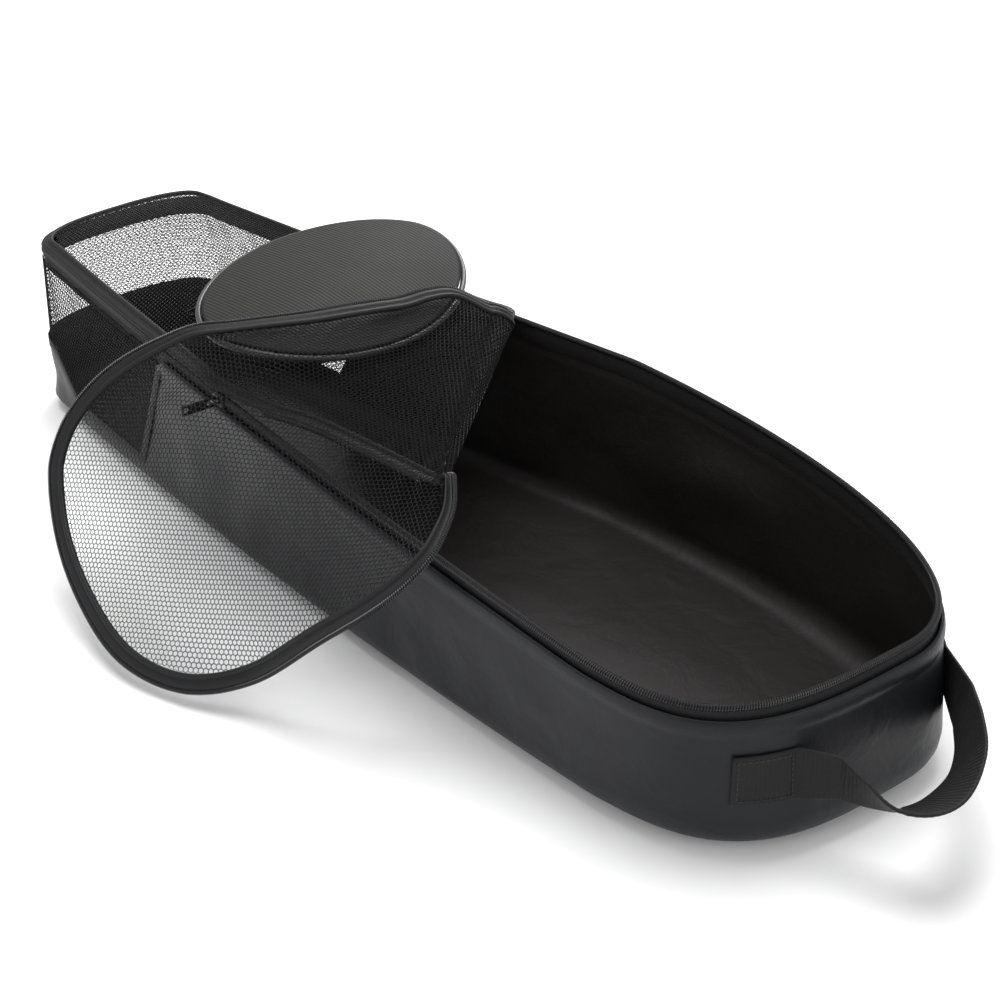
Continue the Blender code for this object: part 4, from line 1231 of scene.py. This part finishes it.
def joined(name, parts, matrix):
    """The parts as one object at the origin, with its place in its mesh."""
    bpy.ops.object.select_all(action="DESELECT")
    for part in parts:
        part.select_set(True)
    bpy.context.view_layer.objects.active = parts[0]
    bpy.ops.object.join()
    piece = bpy.context.active_object
    piece.name = name
    piece.data.name = name
    piece.data.transform(matrix)
    piece.data.materials.clear()
    piece.data.materials.append(slider_metal)
    piece.data.shade_smooth()
    piece.data.set_sharp_from_angle(angle=METAL_SHARP)
    piece.select_set(False)
    return piece


def plate_with_eyes(name, low, high, eyes, radius):
    """A flat pull: a plate whose round holes are cut through it, with rounded edges."""
    plate = box_part(name, low, high, (high[1] - low[1]) * PULL_EDGE)
    for x, z in eyes:
        bpy.ops.object.select_all(action="DESELECT")
        bpy.ops.mesh.primitive_cylinder_add(
            vertices=20, radius=radius, depth=0.01, location=(x, 0, z), rotation=(math.pi / 2, 0, 0)
        )
        cutter = bpy.context.active_object
        cut = plate.modifiers.new("eye", "BOOLEAN")
        cut.operation = "DIFFERENCE"
        cut.object = cutter
        cut.solver = "EXACT"
        apply_all(plate)
        bpy.data.objects.remove(cutter)
    return plate


def build_slider(prefix, place, out, rise, size):
    """A slider and its pull, in the place and size of the solid ones."""
    turned = Matrix([out.tolist(), np.cross(rise, out).tolist(), rise.tolist()]).transposed().to_4x4()
    half_span = BRIDGE_SPAN / 2 * size
    bar = BRIDGE_BAR * size
    wide = BRIDGE_WIDTH / 2 * size
    face = SLIDER_THICK * size
    stands = face + BRIDGE_STANDS * size
    length = SLIDER_LENGTH / 2 * size
    height = SLIDER_HEIGHT / 2 * size
    parts = [box_part("plate", (0, -length, -height), (face, length, height), PLATE_BEVEL * size, 3)]
    bridge = (
        dict(low=(face * POST_FOOT, -half_span), high=(stands, bar - half_span)),
        dict(low=(face * POST_FOOT, half_span - bar), high=(stands, half_span)),
        dict(low=(stands - bar, -half_span), high=(stands, half_span)),
    )
    for block in bridge:
        parts.append(box_part("bridge", (*block["low"], -wide), (*block["high"], wide), BRIDGE_BEVEL * size))
    body = joined(f"{prefix}_zip_slider", parts, Matrix.Translation(place.tolist()) @ turned)
    on_bag(body, "slider", f"{prefix}_slider")

    hinge = (face + stands - bar) / 2
    thick = PULL_THICK / 2 * size
    high = PULL_WIDTH / 2 * size
    eye = PULL_EYE / 2 * size
    long = PULL_LENGTH * size
    slot = [(eye * along, 0.0) for along in PULL_SLOT]
    eyes = [*slot, (long - END_EYE * eye, 0.0)]
    plate = plate_with_eyes("plate", (-thick, -thick, -high), (long, thick, high), eyes, eye * EYE_OPEN)
    pull = joined(f"{prefix}_zip_pull", [plate], Matrix.Translation((place + out * hinge).tolist()) @ turned)
    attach(pull, f"{prefix}_pull")
    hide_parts(f"{prefix}_pull")


def build_main_slider():
    """Gives back the points that the pull sweeps, which the flap has to clear."""
    share, across = rim_stations(TUB_AROUND // 4)
    coil = wall_ring(share, across, rim_height(share), COIL_INSET)
    out = outwards(coil, closed=True)
    left = np.where(coil[:, 1] < 0)[0]
    parting = (BAND_CLOSED["left"] - 0.5) * LENGTH
    nearest = left[np.argmin(np.abs(coil[left, 0] - parting))]
    place = coil[nearest] + out[nearest] * (COIL_RADIUS + CLEAR)
    build_slider("main", place, out[nearest], UP, 1.0)
    swings = math.atan2(out[nearest, 1], out[nearest, 0]) + np.radians(PULL_SWEEP["turns"])
    reach = PULL_LENGTH + SLIDER_THICK + BRIDGE_STANDS
    sweep = np.stack((np.cos(swings), np.sin(swings), np.zeros(len(swings))), 1)
    swept = np.concatenate([place + sweep * reach * part for part in PULL_SWEEP["parts"]])
    return swept + UP * SLIDER_HEIGHT / 2, coil


def build_pocket_slider(line, out, rise):
    here = OVAL_FINER * round(POCKET_SLIDER_TURN / (2 * math.pi) * OVAL_AROUND)
    place = line[here] + out[here] * (POCKET_ZIP_THICK / 2 + CLEAR)
    build_slider("pocket", place, out[here], rise[here], POCKET_SLIDER_SCALE)


def build_top():
    """Net top, its band and coil, the pocket on it, and the flap folded back over them."""
    swept, rim_coil = build_main_slider()
    path, tilt, lift_start = band_path()
    lid_frame = band_frame(path, tilt)
    raw = flap_grid()
    order, edge, across, face = flap_border(raw)
    meet_bands(path, lid_frame, flap_band_middle(edge, across), (across, face))
    inset = BAND_WIDTH / 2 + EDGE_GAP
    fold = np.linspace(path[-1] - lid_frame[0][-1] * inset, path[0] - across[0] * inset, FLAP_ACROSS)
    turned = fold[-1] - fold[0]
    forward = units(np.array((turned[1], -turned[0], 0.0)))
    lid = lid_grid(path, lid_frame[0], fold)
    lid_net = knit("lid_netting", reach_under(finer_grid(lid), first=True, last=False) - UP * LID_UNDER_BAND)
    on_bag(lid_net, "net", "lid_net")
    pocket, *pocket_zip = build_pocket(lid)
    build_pocket_slider(*pocket_zip)
    lid_middle = path.copy()
    lid_middle[-1] += units(path[-2] - path[-1]) * EDGE_GAP
    on_bag(build_band("lid_edge_band", lid_middle, *lid_frame), "band", "lid_band")

    bands = np.concatenate((lid.reshape(-1, 3), path)) + UP * PIPING_RADIUS
    under = np.concatenate((bands, pocket, swept, rim_coil + UP * COIL_RADIUS))
    grid = settle(raw, under)
    order, edge, across, face = flap_border(grid)
    middle = flap_band_middle(edge, across)
    meet_bands(path, lid_frame, middle, (across, face))
    round_left = left_turn(middle, across, lid_middle[-1], path[-1] - path[-2], lid_frame[0][-1])
    whole, whole_across, _, widths = round_left
    on_bag(build_band("flap_edge_band", *round_left), "band", "flap_band")
    border = middle - across * inset
    border[-4:-1] -= across[-4:-1] * 2 * EDGE_GAP
    border[0] = fold[-1] + forward * CLEAR
    border[-1] = fold[0] + forward * CLEAR
    net = settle(draw_in(grid, order, border), under, keep_border=True)
    flap_net = knit("flap_netting", reach_under(finer_grid(net)))
    on_bag(flap_net, "net", "flap_net")

    coil_out = BAND_WIDTH / 2 + FLAP_COIL_RADIUS - COIL_SUNK
    lifted = path[lift_start:-1] + lid_frame[0][lift_start:-1] * coil_out
    zip_coil("lifted_zip_coil", smooth_rows(lifted, COIL_FINER), FLAP_COIL_RADIUS, "lifted_coil")
    beside = widths * BAND_WIDTH / 2 + FLAP_COIL_RADIUS - COIL_SUNK
    loop = (whole + whole_across * beside[:, None])[1:-1]
    zip_coil("flap_zip_coil", smooth_rows(loop, COIL_FINER), FLAP_COIL_RADIUS, "flap_coil")
    return lid_net, flap_net


lid_netting, flap_netting = build_top()


# Handle
# A loop of ribbed webbing on the near end. Both ends lie flat on the wall, each sewn down with a
# stitched box, and the free part stands out and leans over under its own weight.

WEB_WIDTH = 0.0290
WEB_THICK = 0.0018
WEB_RIB = 0.0024
WEB_RIB_DEPTH = 0.00030
HANDLE_REACH = 0.0560
PATCH_LENGTH = 0.0340
HANDLE_LEFT = -0.325
HANDLE_RIGHT = 0.195
HANDLE_HEIGHT = 0.56
CAD_AROUND = 68
BOX_INSET = 0.0030
BOX_STITCH = dict(pitch=0.003, radius=0.0004)
BOX_END = 12
BOX_BEFORE = 6
BOX_AFTER = 5
RIB_STEPS = 5
HANDLE_SOFTER = 8

HANDLE = (
    dict(forward=0.18, across=-0.262, height=0.56, lean=8),
    dict(forward=0.50, across=-0.256, height=0.54, lean=30),
    dict(forward=0.80, across=-0.240, height=0.52, lean=55),
    dict(forward=0.94, across=-0.170, height=0.52, lean=58),
    dict(forward=0.86, across=-0.066, height=0.55, lean=38),
    dict(forward=0.64, across=0.020, height=0.56, lean=22),
    dict(forward=0.35, across=0.097, height=0.56, lean=12),
)

webbing = woven_finish("webbing", (0.0085, 0.0080, 0.0090), 0.62, ribs=480.0)


def end_station(across_share, side):
    half = half_outline(side)
    near = half[half[:, 0] > 0.5]
    wanted = across_share * NEAR_WIDTH
    order = np.argsort(near[:, 1])
    share = np.interp(wanted, near[order, 1], near[order, 0])
    return float(share), wanted


def handle_path():
    """Middle of the webbing from patch to patch, with its lean in degrees."""
    share, across = rim_stations(4 * CAD_AROUND)
    height = HANDLE_HEIGHT * NEAR_RIM
    half = WEB_WIDTH / 2
    rings = [wall_ring(share, across, np.full(share.shape, height + step)) for step in (-half, 0, half)]
    out = outwards(rings[1], closed=True)
    wall_lean = np.degrees(np.arctan2(((rings[2] - rings[0]) * out).sum(axis=1), WEB_WIDTH))
    wall = np.column_stack((rings[1] + out * (CLEAR + WEB_THICK / 2), wall_lean))
    distances = path_distances(wall[:, :3])
    rows = table_curve(HANDLE, ("forward", "across", "height", "lean"))
    loop = rows * (HANDLE_REACH, NEAR_WIDTH, NEAR_RIM, 1.0) + (LENGTH / 2, 0.0, 0.0, 0.0)
    patches = []
    for wanted, side in ((HANDLE_LEFT, "left"), (HANDLE_RIGHT, "right")):
        at_share, at_across = end_station(wanted, side)
        start = distances[np.argmin(np.hypot(share - at_share, (across - at_across) / LENGTH))]
        span = (start - PATCH_LENGTH, start) if side == "left" else (start, start + PATCH_LENGTH)
        steps = np.linspace(*span, 8)
        patches.append(read_off(wall, distances, steps))
    return np.concatenate((patches[0], loop[::2], patches[1]))


def build_handle():
    coarse = handle_path()
    distances = path_distances(coarse[:, :3])
    steps = np.arange(0, distances[-1], WEB_RIB / RIB_STEPS)
    path = read_off(coarse, distances, steps)
    for _ in range(HANDLE_SOFTER):
        path[1:-1] = (path[:-2] + 2 * path[1:-1] + path[2:]) / 4
    centres = path[:, :3]
    lean = np.radians(path[:, 3])
    out = outwards(centres)
    webbing_up = UP * np.cos(lean)[:, None] + out * np.sin(lean)[:, None]
    along = tangents(centres)
    webbing_up = square_to(webbing_up, along)
    through = np.cross(along, webbing_up)
    ribs = np.sin(2 * math.pi * steps / WEB_RIB)
    profile = np.array(soft_flat_profile(WEB_WIDTH, WEB_THICK))
    inner = np.linspace(WEB_WIDTH / 2 - WEB_THICK, -WEB_WIDTH / 2 + WEB_THICK, 12)
    upper = [(x, WEB_THICK / 2) for x in inner]
    lower = [(-x, -WEB_THICK / 2) for x in inner]
    profile = np.array([*profile[:5], *upper, *profile[5:], *lower])
    flat = np.abs(profile[:, 0]) < WEB_WIDTH / 2 - WEB_THICK * 0.9
    phase = np.array([1.0 if number % 2 else -1.0 for number in range(len(profile))])
    shift = ribs[:, None] * np.where(flat, 1.0, 0.3)[None] + 0.35 * phase[None] * flat[None]
    thickness = profile[None, :, 1] + np.sign(profile[None, :, 1]) * shift * WEB_RIB_DEPTH * 0.5
    sections = np.stack((np.broadcast_to(profile[:, 0], thickness.shape), thickness), 2)
    on_bag(ribbon("webbing_handle", centres, webbing_up, through, sections, webbing), "webbing", "end_handle")

    face = through if ((through * out).sum() > 0) else -through
    count = len(centres)
    span = int(PATCH_LENGTH / (WEB_RIB / RIB_STEPS))
    half = WEB_WIDTH / 2 - BOX_INSET
    left = (BOX_BEFORE, span - BOX_AFTER)
    right = (count - span + BOX_AFTER, count - 1 - BOX_BEFORE)
    for name, (first, last) in (("left", left), ("right", right)):
        facing = face[first:last]
        raised = centres[first:last] + facing * (WEB_THICK / 2 + STITCH_LIFT)
        low = raised - webbing_up[first:last] * half
        high = raised + webbing_up[first:last] * half
        ends = [np.linspace(low[-1], high[-1], BOX_END), np.linspace(high[0], low[0], BOX_END)]
        ring = np.concatenate((low, ends[0], high[::-1], ends[1]))
        turned = [np.repeat(facing[[at]], BOX_END, 0) for at in (-1, 0)]
        facing = np.concatenate((facing, turned[0], facing[::-1], turned[1]))
        on_bag(stitch_row(f"{name}_box_stitches", ring, facing, **BOX_STITCH), "webbing")


build_handle()


# Floor, light and camera
# A plain pale floor under soft studio light, seen from above the near left corner.

FLOOR_COLOUR = (0.93, 0.93, 0.93)
FLOOR_HALF = 30
FLOOR_UNDER = 0.0006
CAMERA_AT = (0.733, -0.664, 0.608)
CAMERA_LOOKS = (0.0567, -0.0008, 0.0515)
CAMERA_LENS = 64.8
CAMERA_SENSOR = 36.0
LIGHTS_LOOK = (0.0, 0.0, 0.06)
ROOM_LIGHT = 0.70
SOFT_LIGHTS = (
    dict(name="top", place=(-0.2, 0.1, 1.7), size=1.3, power=26.0),
    dict(name="left", place=(0.3, -1.7, 0.8), size=0.9, power=5.5),
    dict(name="back", place=(-0.9, 1.3, 0.9), size=0.9, power=14.0),
    dict(name="near", place=(1.8, 0.3, 0.7), size=0.8, power=4.0),
)


def build_floor():
    pale = finish("pale_floor", FLOOR_COLOUR, 0.9, uneven=(0.01, 2.0, 0.02))
    signs = ((-1, -1), (1, -1), (1, 1), (-1, 1))
    corners = [(x * FLOOR_HALF, y * FLOOR_HALF, -FLOOR_UNDER) for x, y in signs]
    new_piece("studio_floor", corners, [(0, 1, 2, 3)], pale)


def build_lights():
    for soft in SOFT_LIGHTS:
        lamp = bpy.data.lights.new(soft["name"] + "_light", "AREA")
        lamp.shape = "DISK"
        lamp.size = soft["size"]
        lamp.energy = soft["power"]
        held = bpy.data.objects.new(lamp.name, lamp)
        held.location = soft["place"]
        back = Vector(soft["place"]) - Vector(LIGHTS_LOOK)
        held.rotation_euler = back.to_track_quat("Z", "Y").to_euler()
        bpy.context.scene.collection.objects.link(held)
    world = bpy.data.worlds.new("studio")
    world.use_nodes = True
    background = world.node_tree.nodes["Background"]
    background.inputs["Color"].default_value = (1.0, 1.0, 1.0, 1.0)
    background.inputs["Strength"].default_value = ROOM_LIGHT
    bpy.context.scene.world = world
    bpy.context.scene.view_settings.view_transform = "Standard"


def build_camera():
    lens = bpy.data.cameras.new("camera")
    lens.lens = CAMERA_LENS
    lens.sensor_width = CAMERA_SENSOR
    held = bpy.data.objects.new("camera", lens)
    held.location = CAMERA_AT
    back = Vector(CAMERA_AT) - Vector(CAMERA_LOOKS)
    held.rotation_euler = back.to_track_quat("Z", "Y").to_euler()
    bpy.context.scene.collection.objects.link(held)
    bpy.context.scene.camera = held


build_floor()
build_lights()
build_camera()
